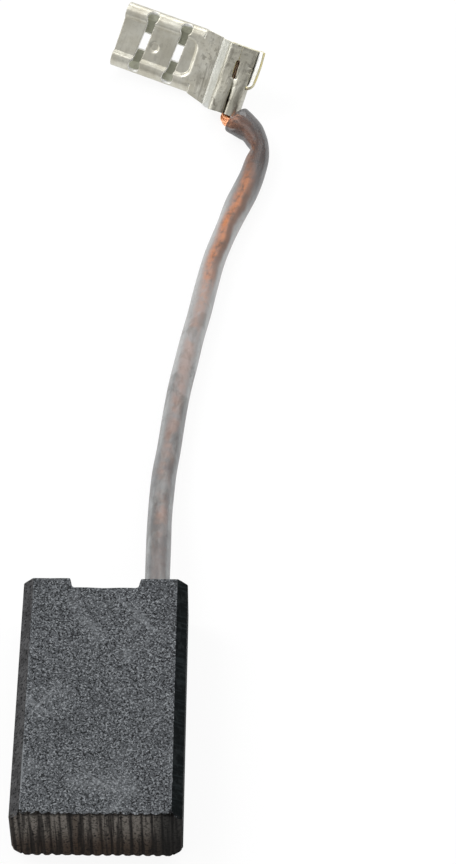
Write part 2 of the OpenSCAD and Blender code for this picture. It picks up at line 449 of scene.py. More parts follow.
    def dress(self, colour: Socket, normal: Socket, **constants: float) -> Material:
        """Connects the shader.

        Args:
            colour: Base colour socket.
            normal: Normal socket.
            constants: Shader inputs that are the same all over, by name with _ for a space.

        Returns:
            The finished material.
        """
        self.link(colour, self.shader.inputs["Base Color"])
        self.link(normal, self.shader.inputs["Normal"])
        for key, value in constants.items():
            self.shader.inputs[key.replace("_", " ")].default_value = value
        return self.material


@dataclass(frozen=True)
class MottledFinish:
    """Two colours in patches of one noise, which also gives a low bump."""

    name: str
    ground: Colour
    patch: Colour
    scale: float
    detail: float
    rough: float
    low: float
    high: float
    depth: float
    strength: float
    metallic: float
    roughness: float

    def material(self) -> Material:
        """Builds the material.

        Returns:
            The material.
        """
        n = NodeBench(self.name)
        cloud = n.noise(n.coordinates(Pattern.OBJECT), self.scale, self.detail, self.rough)
        colour = n.mix(n.ramp(cloud, self.low, self.high), self.ground, self.patch)
        normal = n.bump(cloud, self.depth, self.strength)
        return n.dress(colour, normal, Metallic=self.metallic, Roughness=self.roughness)


# Tamped copper-graphite powder.
POWDER = MottledFinish(
    "tamped_powder", ground=(0.03, 0.03, 0.03), patch=(0.30, 0.13, 0.07),
    scale=5000.0, detail=2.0, rough=0.5, low=0.4, high=0.6,
    depth=0.00005, strength=1.0, metallic=0.0, roughness=0.7,
)  # fmt: skip
# Sheared and burnished tin, painted near-white as a painted highlight: the slots' walls and the curled
# carrier strip.
BURNISHED_AND_PAINTED_HIGHLIGHT = MottledFinish(
    "burnished_tin_painted_highlight", ground=(0.93, 0.93, 0.91), patch=(0.78, 0.77, 0.70),
    scale=1300.0, detail=3.0, rough=0.6, low=0.4, high=0.65,
    depth=0.00003, strength=0.4, metallic=0.3, roughness=0.42,
)  # fmt: skip
# Cut edges of the sheet, where the brass shows through the plating.
BRASS_EDGE = MottledFinish(
    "cut_brass", ground=(0.72, 0.63, 0.30), patch=(0.62, 0.59, 0.44),
    scale=1100.0, detail=2.0, rough=0.5, low=0.35, high=0.65,
    depth=0.00003, strength=0.4, metallic=0.7, roughness=0.42,
)  # fmt: skip


@dataclass(frozen=True)
class CarbonFinish:
    """Ground face of pressed carbon: fine grey grain, dark pores, pale flecks and faint scratches.

    Each scratch pattern has its turn in degrees, its scale and the noise level that it starts at.
    The long edges get a painted highlight, pale between two distances from the middle, in metres.
    """

    name: str = "pressed_carbon"
    grain: Colour = (0.062, 0.067, 0.073)
    pale: Colour = (0.26, 0.275, 0.29)
    pore: Colour = (0.005, 0.006, 0.007)
    shade: Colour = (0.045, 0.048, 0.053)
    scratches: tuple[Point, ...] = ((-40.0, 520.0, 0.63), (52.0, 430.0, 0.64))
    painted_edge_highlight: tuple[float, float] = (0.00682, 0.00698)

    def material(self) -> Material:
        """Builds the material.

        Returns:
            The material.
        """
        n = NodeBench(self.name)
        place = n.coordinates(Pattern.OBJECT)
        salt = n.noise(place, 5800.0, 2.0, 0.8)
        pepper = n.noise(n.coordinates(Pattern.OBJECT, turn=(40.0, 25.0, 30.0)), 5000.0, 2.0, 0.8)
        cloud = n.noise(place, 190.0, 4.0, 0.65, 0.6)
        pores = n.ramp(pepper, 0.48, 0.41)
        colour = n.mix(n.ramp(salt, 0.48, 0.66), self.grain, self.pale)
        colour = n.coats(
            n.mix(pores, colour, self.pore),
            (self.pale, n.ramp(cloud, 0.5, 0.75), 0.28),
            (self.shade, n.ramp(cloud, 0.47, 0.28), 0.35),
        )
        for turn, scale, level in self.scratches:
            slanted = n.coordinates(Pattern.OBJECT, (0.06, 1.0, 1.0), (0.0, 0.0, turn))
            drawn = n.ramp(n.noise(slanted, scale, 3.0, 0.6, 0.4), level - 0.03, level + 0.03)
            colour = n.coats(colour, (self.pale, n.product(drawn, n.ramp(cloud, 0.42, 0.6)), 0.4))
        # Painted highlight: the long edges are lightened in noisy patches where the face meets the
        # chamfers.
        edge = n.ramp(n.reckon("ABSOLUTE", n.parts(Pattern.OBJECT)[0]), *self.painted_edge_highlight)
        worn_and_painted_light = n.product(edge, n.ramp(n.noise(place, 210.0, 3.0, 0.6), 0.47, 0.6))
        colour = n.coats(colour, (self.pale, worn_and_painted_light, 0.7))
        normal = n.bump(n.reckon("SUBTRACT", salt, pores), 0.00007, 0.8)
        return n.dress(colour, normal, Roughness=0.6, Specular_IOR_Level=0.15)


@dataclass(frozen=True)
class SkinFinish:
    """As-pressed skin on the chamfers and sides: darker and smoother, with faint slanting scores.

    The left side is lighter as painted light and the right near-black as painted shade; they meet
    within the half width given in metres.
    """

    name: str = "pressed_skin_painted_shade"
    light: Colour = (0.071, 0.071, 0.073)
    cloudy: Colour = (0.037, 0.037, 0.038)
    pit: Colour = (0.006, 0.006, 0.007)
    dark: Colour = (0.0012, 0.0026, 0.003)
    score: Colour = (0.012, 0.0165, 0.018)
    bloom: Colour = (0.013, 0.016, 0.017)
    lit_to_shade_half_width: float = 0.004

    def material(self) -> Material:
        """Builds the material.

        Returns:
            The material.
        """
        n = NodeBench(self.name)
        place = n.coordinates(Pattern.OBJECT)
        slanted = n.coordinates(Pattern.OBJECT, (1.0, 9.0, 1.0), (0.0, 0.0, 18.0))
        # Painted light and shade: the skin goes from the lighter left colour to the near-black right
        # across the middle.
        across = n.ramp(n.parts(Pattern.OBJECT)[0], -self.lit_to_shade_half_width, self.lit_to_shade_half_width)
        mottle = n.noise(place, 900.0, 4.0, 0.7)
        grain = n.noise(place, 4200.0, 2.0, 0.7)
        drawn = n.noise(slanted, 420.0, 3.0, 0.6)
        left = n.mix(n.ramp(mottle, 0.38, 0.62), self.light, self.cloudy)
        left = n.mix(n.ramp(grain, 0.49, 0.36), left, self.pit)
        # Painted shade: the right side near-black, with faint scores and bloom.
        right = n.coats(
            self.dark,
            (self.score, n.ramp(drawn, 0.5, 0.66), 0.75),
            (self.bloom, n.ramp(mottle, 0.5, 0.64), 0.7),
        )
        normal = n.bump(n.reckon("ADD", mottle, n.product(drawn, 0.4)), 0.00006, 0.7)
        return n.dress(n.mix(across, left, right), normal, Roughness=0.6, Specular_IOR_Level=0.04)


@dataclass(frozen=True)
class WornFinish:
    """Bedded wear face: brown-black carbon, browner low down, with painted shade in the grooves and
    towards the right side.

    The grooves' pitch is in millimetres; the pairs are heights and places in metres.
    """

    name: str = "worn_carbon"
    grey: Colour = (0.165, 0.150, 0.133)
    brown: Colour = (0.038, 0.021, 0.0105)
    soot_and_shade: Colour = (0.0025, 0.002, 0.002)
    shade: Colour = (0.011, 0.0115, 0.011)
    pitch: float = 16.0 / 17.0
    browned: tuple[float, float] = (0.0056, 0.0014)
    shaded: tuple[float, float] = (0.0042, 0.0066)
    brim: tuple[float, float] = (0.00745, 0.0078)

    def material(self) -> Material:
        """Builds the material.

        Returns:
            The material.
        """
        n = NodeBench(self.name)
        place = n.coordinates(Pattern.OBJECT)
        upright = n.coordinates(Pattern.OBJECT, (1.0, 0.5, 0.045))
        x, _, z = n.parts(Pattern.OBJECT)
        streak = n.noise(upright, 2600.0, 2.0, 0.55)
        broad = n.noise(upright, 420.0, 2.0, 0.5)
        fine = n.noise(place, 4200.0, 2.0, 0.7)
        pits = n.noise(place, 1500.0, 2.0, 0.6)
        phase = n.reckon("FRACT", n.reckon("ADD", n.product(x, 1000.0 / self.pitch), 100.5))
        ragged = n.reckon("ADD", z, n.product(pits, 0.0012))
        colour = n.coats(
            n.mix(n.ramp(broad, 0.24, 0.52), self.brown, self.grey),
            (self.brown, n.ramp(z, *self.browned), 0.85),
            # Painted shade: darker towards the right side.
            (self.shade, n.ramp(x, *self.shaded), 0.9),
            (self.soot_and_shade, n.ramp(streak, 0.52, 0.4), 0.75),
            # Painted shade in the groove valleys, which line up with the grooves cut into the mesh.
            (self.soot_and_shade, n.ramp(n.away(phase, 0.5), 0.33, 0.46), 0.72),
            (self.soot_and_shade, n.ramp(fine, 0.5, 0.4), 0.7),
            (self.soot_and_shade, n.ramp(ragged, *self.brim), 0.8),
            (self.soot_and_shade, n.ramp(pits, 0.38, 0.33), 0.9),
        )
        normal = n.bump(n.reckon("ADD", streak, n.product(fine, 0.6)), 0.00009, 0.8)
        return n.dress(colour, normal, Roughness=0.6, Specular_IOR_Level=0.05)


@dataclass(frozen=True)
class CopperFinish:
    """Bare drawn copper wire, bright on the crowns and oxidised in patches.

    The pairs are places along the part in metres: where the wire leaves the hose it is painted
    brighter as painted light on the loop, in the conductor barrel it is dark, and at the barrel's far
    end it is tinned.
    """

    name: str = "bare_copper"
    bright: Colour = (0.95, 0.42, 0.19)
    dull: Colour = (0.22, 0.10, 0.06)
    painted_loop_light: Colour = (1.0, 0.50, 0.27)
    shade: Colour = (0.07, 0.05, 0.038)
    tinned: Colour = (0.46, 0.34, 0.26)
    bare_from: tuple[float, float] = (0.081, 0.082)
    shaded_from: tuple[float, float] = (0.0836, 0.0848)
    tinned_from: tuple[float, float] = (0.0853, 0.0862)

    def material(self) -> Material:
        """Builds the material.

        Returns:
            The material.
        """
        n = NodeBench(self.name)
        place = n.coordinates(Pattern.OBJECT)
        along = n.parts(Pattern.OBJECT)[1]
        patch = n.noise(place, 520.0, 4.0, 0.65, 0.5)
        colour = n.mix(n.ramp(patch, 0.36, 0.56), self.dull, self.bright)
        # Painted light: the bare loop is brightened to orange.
        colour = n.coats(colour, (self.painted_loop_light, n.ramp(along, *self.bare_from), 0.8))
        colour = n.mix(n.ramp(along, *self.shaded_from), colour, self.shade)
        colour = n.mix(n.ramp(along, *self.tinned_from), colour, self.tinned)
        normal = n.bump(n.noise(place, 2500.0, 2.0), 0.00002, 0.4)
        return n.dress(colour, normal, Metallic=0.45, Roughness=0.38)


@dataclass(frozen=True)
class SleeveFinish:
    """Milky hose: grey haze, with a blurred copper streak where the rope lies close under the wall.

    Places along the hose are in centimetres from its end in the block.
    """

    name: str = "milky_sleeve"
    milk: Colour = (0.185, 0.19, 0.195)
    haze: Colour = (0.29, 0.30, 0.298)
    pale: Colour = (0.48, 0.485, 0.48)
    soil: Colour = (0.10, 0.10, 0.097)
    smoke: Colour = (0.048, 0.044, 0.045)
    copper: Colour = (0.66, 0.245, 0.095)
    pink: Colour = (0.5, 0.27, 0.19)
    brown: Colour = (0.15, 0.085, 0.06)
    umber: Colour = (0.085, 0.042, 0.03)
    border: Colour = (0.125, 0.072, 0.05)
    cover: float = 0.7

    def material(self) -> Material:
        """Builds the material.

        Returns:
            The material.
        """
        n = NodeBench(self.name)
        around, along, _ = n.parts(Pattern.UV)
        cloud = n.noise(n.coordinates(Pattern.UV, (5.0, 1.8, 1.0)), 1.1, 4.0, 0.65, 0.3)
        smudge = n.noise(n.coordinates(Pattern.UV, (4.6, 2.9, 1.0)), 1.0, 3.0, 0.6, 0.5)
        sway = n.noise(n.coordinates(Pattern.UV, (0.1, 3.0, 1.0)), 1.0, 2.0)
        blotch = n.noise(n.coordinates(Pattern.UV, (11.0, 5.0, 1.0)), 1.0, 4.0, 0.65, 0.4)
        broken = n.noise(n.coordinates(Pattern.UV, (2.0, 2.3, 1.0)), 1.0, 3.0, 0.6)
        fleck = n.noise(n.coordinates(Pattern.OBJECT), 1900.0, 3.0, 0.6)

        bent = n.ramp(along, 5.9, 6.7)
        middle = n.product(n.ramp(along, 1.9, 3.8), n.ramp(along, 6.1, 5.5))
        vivid = n.product(n.ramp(along, 4.3, 5.2), n.ramp(along, 6.4, 5.9))
        soiled = n.product(n.ramp(smudge, 0.45, 0.62), n.ramp(along, 5.2, 3.2))

        turned = n.reckon("ADD", around, n.product(sway, 0.14))
        turned = n.reckon("SUBTRACT", turned, n.product(bent, 0.15))
        turned = n.reckon("FRACT", n.product(turned, 2.0))
        core = n.ramp(n.away(turned, 0.62), 0.29, 0.0)
        # Painted shade: a band beside the copper streak's right edge.
        rim = n.ramp(n.away(turned, 0.45), 0.15, 0.03)
        early = n.product(n.ramp(broken, 0.42, 0.58), 0.36, n.ramp(along, 0.3, 1.2))
        strong = n.reckon("ADD", n.product(n.ramp(along, 3.9, 5.0), 0.5), early)
        strong = n.reckon("MINIMUM", n.reckon("ADD", strong, n.product(vivid, 0.4)), 1.0)

        mottle = n.reckon("ADD", n.product(blotch, 0.6), n.product(fleck, 0.4))
        streak = n.mix(n.ramp(mottle, 0.33, 0.64), self.brown, self.copper)
        streak = n.mix(n.ramp(along, 4.6, 3.6), streak, self.pink)
        streak = n.coats(streak, (self.umber, bent, 0.8))
        colour = n.coats(
            n.mix(n.ramp(cloud, 0.35, 0.68), self.milk, self.haze),
            (self.pale, middle, 0.7),
            (self.soil, soiled, 0.55),
            (self.smoke, bent, 0.92),
        )
        colour = n.coats(
            n.mix(n.product(core, strong), colour, streak),
            # Painted shade: dark brown along the right side of the copper streak.
            (self.border, n.product(rim, vivid), 0.75),
            (self.brown, n.ramp(fleck, 0.5, 0.7), 0.16),
        )
        normal = n.bump(n.reckon("ADD", fleck, cloud), 0.00005, 0.35)
        return n.dress(colour, normal, Roughness=0.36, Alpha=self.cover, IOR=1.45)


@dataclass(frozen=True)
class SleeveBoreFinish:
    """Inner wall of the hose, tinted by the copper that rubs on it."""

    name: str = "copper_smeared_bore"
    copper: Colour = (0.60, 0.28, 0.15)
    brown: Colour = (0.09, 0.06, 0.05)
    grey: Colour = (0.15, 0.145, 0.14)
    smoke: Colour = (0.07, 0.055, 0.05)
    cover: float = 0.5

    def material(self) -> Material:
        """Builds the material.

        Returns:
            The material.
        """
        n = NodeBench(self.name)
        patch = n.noise(n.coordinates(Pattern.UV, (7.0, 3.0, 1.0)), 1.0, 3.0, 0.6, 0.3)
        along = n.parts(Pattern.UV)[1]
        colour = n.coats(
            n.mix(n.ramp(patch, 0.32, 0.62), self.brown, self.copper),
            (self.grey, n.ramp(along, 5.0, 3.4), 0.7),
            (self.smoke, n.ramp(along, 5.9, 6.6), 0.8),
        )
        normal = n.bump(patch, 0.00003, 0.3)
        return n.dress(colour, normal, Roughness=0.5, Alpha=self.cover, IOR=1.45)


@dataclass(frozen=True)
class TinFinish:
    """Dull tin plate over brass: soft mottling, grey-brown tarnish and small dents, with painted shade
    on the dropped floor and the crimp and a painted bluish sheen on the inclined web.

    Places on the sheet are in centimetres, along it from the tab's mouth and across it.
    """

    name: str = "tinned_brass"
    plate: Colour = (0.665, 0.65, 0.575)
    warm: Colour = (0.535, 0.51, 0.425)
    shade: Colour = (0.4, 0.39, 0.33)
    painted_web_sheen: Colour = (0.56, 0.59, 0.60)
    tarnish: Colour = (0.20, 0.185, 0.15)

    def material(self) -> Material:
        """Builds the material.

        Returns:
            The material.
        """
        n = NodeBench(self.name)
        place = n.coordinates(Pattern.OBJECT)
        along, across, _ = n.parts(Pattern.UV)
        cloud = n.noise(place, 420.0, 4.0, 0.62)
        fine = n.noise(place, 2600.0, 3.0, 0.65)
        drawn = n.noise(n.coordinates(Pattern.UV, (3.2, 0.5, 1.0)), 6.0, 4.0, 0.7, 0.3)
        spots = n.noise(place, 900.0, 2.0, 0.5, 0.6)
        # Painted shade: the dropped floor of the tab.
        floor = n.product(n.ramp(along, 0.95, 0.86), n.ramp(n.reckon("ABSOLUTE", across), 0.27, 0.22))
        # Painted shade: the crimp, darkened as a whole.
        crimp_painted_shade = n.product(n.ramp(along, 1.33, 1.37), 1.6)
        # Painted sheen: a pale bluish band on the inclined web, kept clear of tarnish.
        web = n.product(n.ramp(along, 1.16, 1.26), n.ramp(along, 1.37, 1.3))
        worked = n.reckon("ADD", n.product(n.ramp(along, 0.92, 1.15), 0.75), 0.25)
        worked = n.reckon("SUBTRACT", worked, n.product(web, worked, 0.75))
        colour = n.coats(
            n.mix(n.ramp(cloud, 0.36, 0.66), self.warm, self.plate),
            (self.shade, n.reckon("MAXIMUM", floor, crimp_painted_shade), 0.3),
            (self.painted_web_sheen, web, 0.6),
            (self.tarnish, n.product(worked, n.ramp(drawn, 0.5, 0.64)), 0.5),
            (self.tarnish, n.product(worked, n.ramp(fine, 0.53, 0.68)), 0.55),
            (self.tarnish, n.product(worked, n.ramp(spots, 0.66, 0.73)), 0.75),
        )
        height = n.reckon("ADD", n.product(fine, 0.45), n.product(drawn, 0.3))
        height = n.reckon("ADD", n.product(height, worked), n.product(cloud, 0.6))
        return n.dress(colour, n.bump(height, 0.00007, 0.6), Metallic=0.92, Roughness=0.4)


@dataclass(frozen=True)
class BoreFinish:
    """Inner side of the folded sheet: thin, dull, greenish plating, painted pale as painted light
    inside the rolls, with painted shade under the rolls' lips.
    """

    name: str = "dull_plating_painted_light"
    # Painted light: pale to stand in for the light bounced inside the rolls.
    plate: Colour = (0.86, 0.87, 0.76)
    stain: Colour = (0.66, 0.66, 0.56)
    shade: Colour = (0.42, 0.42, 0.34)

    def material(self) -> Material:
        """Builds the material.

        Returns:
            The material.
        """
        n = NodeBench(self.name)
        cloud = n.noise(n.coordinates(Pattern.OBJECT), 700.0, 3.0, 0.6)
        # Painted shade under the rolls' lips.
        lip = n.ramp(n.reckon("ABSOLUTE", n.parts(Pattern.UV)[1]), 0.262, 0.245)
        colour = n.mix(n.ramp(cloud, 0.38, 0.62), self.stain, self.plate)
        colour = n.coats(colour, (self.shade, lip, 0.8))
        return n.dress(colour, n.bump(cloud, 0.00004, 0.5), Metallic=0.15, Roughness=0.5)


# ---------------------------------------------------------------- camera, light and floor


@dataclass
class Studio:
    """Camera, floor, lamps and world.

    Places are in metres and angles in degrees. Each lamp has its name, place, side in metres and
    power in watts. The world's strength is dim in front and bright overhead and behind.
    """

    camera_at: Point = (0.013653, -0.155248, 0.236693)
    camera_pitch: float = 39.207
    camera_turn: float = 0.596
    lens: float = 81.244
    floor_half: float = 1.5
    aim: Point = (0.003, 0.04, 0.0)
    dim: float = 0.44
    bright: float = 0.76
    lamps: tuple[tuple[str, Point, float, float], ...] = (
        ("key", (-0.32, 0.16, 0.42), 0.28, 1.42),
        ("rim", (0.12, 0.45, 0.4), 0.3, 0.78),
        ("side", (-0.45, 0.12, 0.08), 0.16, 0.26),
        ("fill", (0.34, 0.12, 0.26), 0.2, 0.3),
    )

    def place_camera(self) -> None:
        """Sets the camera at the viewing angle, with the lens given for the picture's height."""
        data = bpy.data.cameras.new("camera")
        data.sensor_fit, data.sensor_height, data.lens = "VERTICAL", 24.0, self.lens
        data.clip_start, data.clip_end = 0.01, 10.0
        camera = bpy.data.objects.new("camera", data)
        camera.location = self.camera_at
        camera.rotation_euler = (math.radians(self.camera_pitch), 0.0, math.radians(self.camera_turn))
        bpy.context.scene.collection.objects.link(camera)
        bpy.context.scene.camera = camera

    def floor_material(self) -> Material:
        """Makes white card: mostly plain white where it is seen, and diffuse for all other light.

        Returns:
            The material.
        """
        n = NodeBench("white_card")
        n.shader.inputs["Base Color"].default_value = (0.93, 0.93, 0.93, 1.0)
        n.shader.inputs["Roughness"].default_value = 0.9
        glow = n.node("ShaderNodeEmission")
        glow.inputs["Strength"].default_value = 1.0
        rays = n.node("ShaderNodeLightPath")
        seen = n.reckon("MAXIMUM", rays.outputs["Is Camera Ray"], rays.outputs["Is Glossy Ray"])
        seen = n.reckon("MAXIMUM", seen, rays.outputs["Is Transmission Ray"])
        mixed = n.node("ShaderNodeMixShader")
        n.link(n.reckon("MULTIPLY", seen, 0.9), mixed.inputs[0])
        n.link(n.shader.outputs[0], mixed.inputs[1])
        n.link(glow.outputs[0], mixed.inputs[2])
        n.link(mixed.outputs[0], n.tree.nodes["Material Output"].inputs["Surface"])
        return n.material

    def lay_floor(self) -> None:
        """Lays the floor at the height on which the part lies."""
        h = self.floor_half
        mesh = bpy.data.meshes.new("floor")
        mesh.from_pydata([(-h, -h, 0.0), (h, -h, 0.0), (h, h, 0.0), (-h, h, 0.0)], [], [(0, 1, 2, 3)])
        mesh.materials.append(self.floor_material())
        floor = bpy.data.objects.new("floor", mesh)
        bpy.context.scene.collection.objects.link(floor)

    def hang_lamp(self, name: str, at: Point, size: float, power: float) -> None:
        """Hangs a square soft lamp aimed at the part's middle.

        Args:
            name: Name of the lamp.
            at: Its place in metres.
            size: Length of its side in metres.
            power: Its power in watts.
        """
        data = bpy.data.lights.new(name, "AREA")
        data.size, data.energy = size, power
        made = bpy.data.objects.new(name, data)
        made.location = at
        aim = np.array(self.aim) - np.array(at)
        made.rotation_euler = (
            math.atan2(math.hypot(aim[0], aim[1]), -aim[2]),
            0.0,
            math.atan2(aim[1], aim[0]) - math.pi / 2,
        )
        bpy.context.scene.collection.objects.link(made)

    def light(self) -> None:
        """Sets the world and the lamps."""
        world = bpy.data.worlds.new("studio")
        world.use_nodes = True
        nodes, links = world.node_tree.nodes, world.node_tree.links
        sky = nodes["Background"]
        sky.inputs["Color"].default_value = (1.0, 1.0, 1.0, 1.0)
        place, parts = nodes.new("ShaderNodeTexCoord"), nodes.new("ShaderNodeSeparateXYZ")
        lean, span = nodes.new("ShaderNodeMath"), nodes.new("ShaderNodeMapRange")
        lean.operation, span.interpolation_type = "ADD", "SMOOTHSTEP"
        links.new(place.outputs["Generated"], parts.inputs[0])
        links.new(parts.outputs["Y"], lean.inputs[0])
        links.new(parts.outputs["Z"], lean.inputs[1])
        links.new(lean.outputs[0], span.inputs["Value"])
        levels = {"From Min": -0.3, "From Max": 0.9, "To Min": self.dim, "To Max": self.bright}
        for key, value in levels.items():
            span.inputs[key].default_value = value
        links.new(span.outputs[0], sky.inputs["Strength"])
        seen = nodes.new("ShaderNodeBackground")
        seen.inputs["Strength"].default_value = 1.0
        rays, mixed = nodes.new("ShaderNodeLightPath"), nodes.new("ShaderNodeMixShader")
        links.new(rays.outputs["Is Camera Ray"], mixed.inputs[0])
        links.new(sky.outputs[0], mixed.inputs[1])
        links.new(seen.outputs[0], mixed.inputs[2])
        links.new(mixed.outputs[0], nodes["World Output"].inputs["Surface"])
        bpy.context.scene.world = world
        for lamp in self.lamps:
            self.hang_lamp(*lamp)
        bpy.context.scene.view_settings.view_transform = "Standard"

    def build(self) -> None:
        """Sets up everything that isn't part of the object."""
        self.place_camera()
        self.lay_floor()
        self.light()


# ---------------------------------------------------------------- pigtail


@dataclass
class Pigtail:
    """Copper rope and the sleeve over it, along one route.

    Places along the sleeve that shape its end are distances left to the cut end. The bare rope is
    squeezed by a share of its width, and pressed flat between two distances from its own end,
    where its width and height are multiplied by the spread.
    """

    rope_d: float = 1.6
    sleeve_d: float = 2.6
    sleeve_wall: float = 0.4
    sleeve_end_d: float = 3.2
    flare_run: float = 6.0
    exit: Point = (4.9, 13.4, 3.65)
    bury: float = 2.0
    strands: int = 7
    wires: int = 7
    wire_d: float = 0.175
    pinch_at: float = 5.2
    swell: float = 0.3
    pinch: float = 0.34
    mouth: float = 0.5
    bulge: float = 0.22
    draw_in: float = 0.1
    strand_lay: float = 9.0
    wire_lay: float = 3.2
    slack: float = 0.05
    squeeze: float = 0.2
    pressed_over: tuple[float, float] = (5.2, 4.0)
    spread: tuple[float, float] = (1.75, 0.98)
    step: float = 0.3
    free_run: tuple[Point, ...] = (
        (4.9, 16.9, 3.65), (4.9, 20.5, 3.35), (4.9, 24.0, 2.75), (5.0, 27.5, 2.1), (5.2, 31.0, 1.65),
        (5.6, 34.5, 1.4), (6.0, 38.5, 1.35), (6.5, 42.5, 1.35), (7.1, 46.0, 1.35), (7.7, 49.5, 1.35),
        (8.4, 53.0, 1.35), (9.1, 57.0, 1.35), (9.9, 61.0, 1.35), (10.9, 64.5, 1.35),
        (12.0, 68.0, 1.35), (13.2, 71.2, 1.35), (14.2, 74.0, 1.4), (14.7, 76.3, 1.5),
        (14.6, 78.4, 1.6), (14.0, 80.2, 1.6), (13.1, 81.5, 1.6), (12.4, 82.3, 1.6),
    )  # fmt: skip
    bare_run: tuple[Point, ...] = (
        (12.05, 82.2, 1.25), (11.7, 82.35, 1.0), (11.35, 82.6, 0.85), (11.1, 82.9, 0.72),
        (10.95, 83.25, 0.7),
    )  # fmt: skip

    def sleeve_path(self) -> Array:
        """Gives the sleeve's centreline from the block's face to its cut end."""
        return smooth_path(np.array([self.exit, *self.free_run]), self.step)

    def rope_path(self, crimp_run: Array) -> Array:
        """Gives the rope's centreline, from the block's face through its points in the crimp."""
        route = np.vstack([[self.exit], self.free_run, self.bare_run, crimp_run])
        return smooth_path(route, self.step)

    def sleeve(self, finish: Material, bore: Material) -> Piece:
        """Sweeps the hose's closed section: outer wall out, inner wall back.

        A point is the path plus radius times (cosine of the angle sideways and sine of the angle
        up). The radius grows towards the cut end by the distance gone to the power 1.5. On the
        inner side of the bend it swells, pinches and opens to an oval mouth, and on the outer
        side it draws in and swells before that. Half its height stays under the path's own height
        over the ground, so that it doesn't sink in.

        Args:
            finish: Material of the hose.
            bore: Material of its inner wall.

        Returns:
            The sleeve.
        """
        path = self.sleeve_path()
        lead = path[0] - np.array([[0.0, self.bury, 0.0]])
        path = np.vstack([lead, path])
        _, side, lift = path_frames(path)
        run = arc_length(path)
        left = run[-1] - run
        widening = (self.sleeve_end_d - self.sleeve_d) / 2
        flare = np.clip(1.0 - left / self.flare_run, 0.0, 1.0) ** 1.5 * widening
        around = np.linspace(0, 2 * math.pi, 48, endpoint=False)
        c, s = np.cos(around)[None, :], np.sin(around)[None, :]
        uneven = 0.012 * wobble(run[:, None] * 0.5, s * 0.7, 11)
        outer = self.sleeve_d / 2 + flare[:, None] - 0.05 + uneven
        swell = smoothstep(5.0, 8.0, left) * smoothstep(18.0, 13.0, left)
        pinch = np.exp(-(((left - self.pinch_at) / 0.9) ** 2))
        mouth = smoothstep(3.2, 0.0, left)
        drawn_in = smoothstep(12.0, 7.0, left) * smoothstep(2.0, 4.0, left)
        bulge = smoothstep(7.5, 13.0, left) * smoothstep(20.0, 14.0, left)
        inward, outward = np.maximum(-c, 0.0) ** 1.5, np.maximum(c, 0.0) ** 1.5
        inner_side = self.swell * swell - self.pinch * pinch + self.mouth * mouth
        outer_side = self.bulge * bulge - self.draw_in * drawn_in
        stretch = inner_side[:, None] * inward + outer_side[:, None] * outward
        flat = 1.0 - 0.1 * (pinch + 0.6 * mouth)[:, None] * np.abs(s) ** 3
        on_ground = run > 3.0 + self.bury
        limit = np.where(on_ground, path[:, 2] - 0.02, self.sleeve_end_d)[:, None]
        rings = []
        for wall in (0.0, self.sleeve_wall):
            radius = outer - wall + stretch
            lifted = np.minimum(radius * flat, limit)
            across = (radius * c)[..., None] * side[:, None, :]
            rings.append(path[:, None, :] + across + (lifted * s)[..., None] * lift[:, None, :])
        points = np.concatenate([rings[0], rings[1][::-1]])
        rows, cols = points.shape[:2]
        along = np.concatenate([run, run[::-1]])
        turn = np.linspace(0, 1, cols)
        uv = np.stack(np.broadcast_arrays(turn[None, :], along[:, None] / 10.0), axis=-1)
        quads = grid_faces(rows, cols, close_cols=True, close_rows=True)[:, ::-1]
        inner = (quads // cols).min(axis=1) >= len(run)
        made = Surface()
        made.add(points, quads, uv, inner.astype(np.int32))
        piece = made.build("insulating_hose", [finish, bore], 60.0)
        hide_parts("insulating_sleeve")
        return piece

    def rope(self, crimp_run: Array, finish: Material) -> Piece:
        """Twists every wire of the rope.

        A wire's middle is the path plus the strand's offset turned once per strand lay plus the
        wire's offset turned once per wire lay; each wire is a six-sided ring of that middle's own
        radius, closed by two faces at each end.

        Args:
            crimp_run: Points on the rope's axis in the crimp.
            finish: Material of the wires.

        Returns:
            The rope.
        """
        path = self.rope_path(crimp_run)
        _, side, lift = path_frames(path)
        run = arc_length(path)
        bare = smooth_path(np.vstack([self.free_run[-1:], self.bare_run, crimp_run]), self.step)
        bare_from = run[-1] - arc_length(bare)[-1]
        tight = 1.0 - self.squeeze * smoothstep(bare_from, bare_from + 1.2, run)
        pressed = smoothstep(*(run[-1] - k for k in self.pressed_over), run)
        wide, high = (tight * (1 + (factor - 1) * pressed) for factor in self.spread)
        s = np.arange(self.strands)
        w = np.arange(self.wires)
        outer = self.rope_d / 2 - self.wire_d * 1.85
        strand_r = np.where(s == 0, 0.0, outer)[:, None]
        strand_a = (s * 2 * math.pi / (self.strands - 1))[:, None]
        strand_a = strand_a + 2 * math.pi * run[None, :] / self.strand_lay
        wire_r = np.where(w == 0, 0.0, self.wire_d * 1.02)[None, :, None]
        wire_a = (w * 2 * math.pi / (self.wires - 1))[None, :, None]
        wire_a = wire_a - 2 * math.pi * run / self.wire_lay + s[:, None, None]
        x = (strand_r * np.cos(strand_a))[:, None, :] + wire_r * np.cos(wire_a)
        y = (strand_r * np.sin(strand_a))[:, None, :] + wire_r * np.sin(wire_a)
        x, y = x.reshape(-1, len(run)), y.reshape(-1, len(run))
        slack = self.slack * wobble(np.arange(len(x))[:, None] * 2.3, run[None, :] * 0.8, 5)
        x, y = (x + slack) * wide, (y + slack * 0.6) * high
        ring = np.linspace(0, 2 * math.pi, 6, endpoint=False)
        r = self.wire_d / 2
        a = (x[..., None] + r * np.cos(ring))[..., None]
        b = (y[..., None] + r * np.sin(ring))[..., None]
        middle, side, lift = (v[None, :, None, :] for v in (path, side, lift))
        points = middle + a * side + b * lift
        count, rows, cols = points.shape[:3]
        cap = np.array([(0, 1, 2, 3), (0, 3, 4, 5)])
        wall = grid_faces(rows, cols, close_cols=True)[:, ::-1]
        wire = np.vstack([wall, cap, cap[:, ::-1] + (rows - 1) * cols])
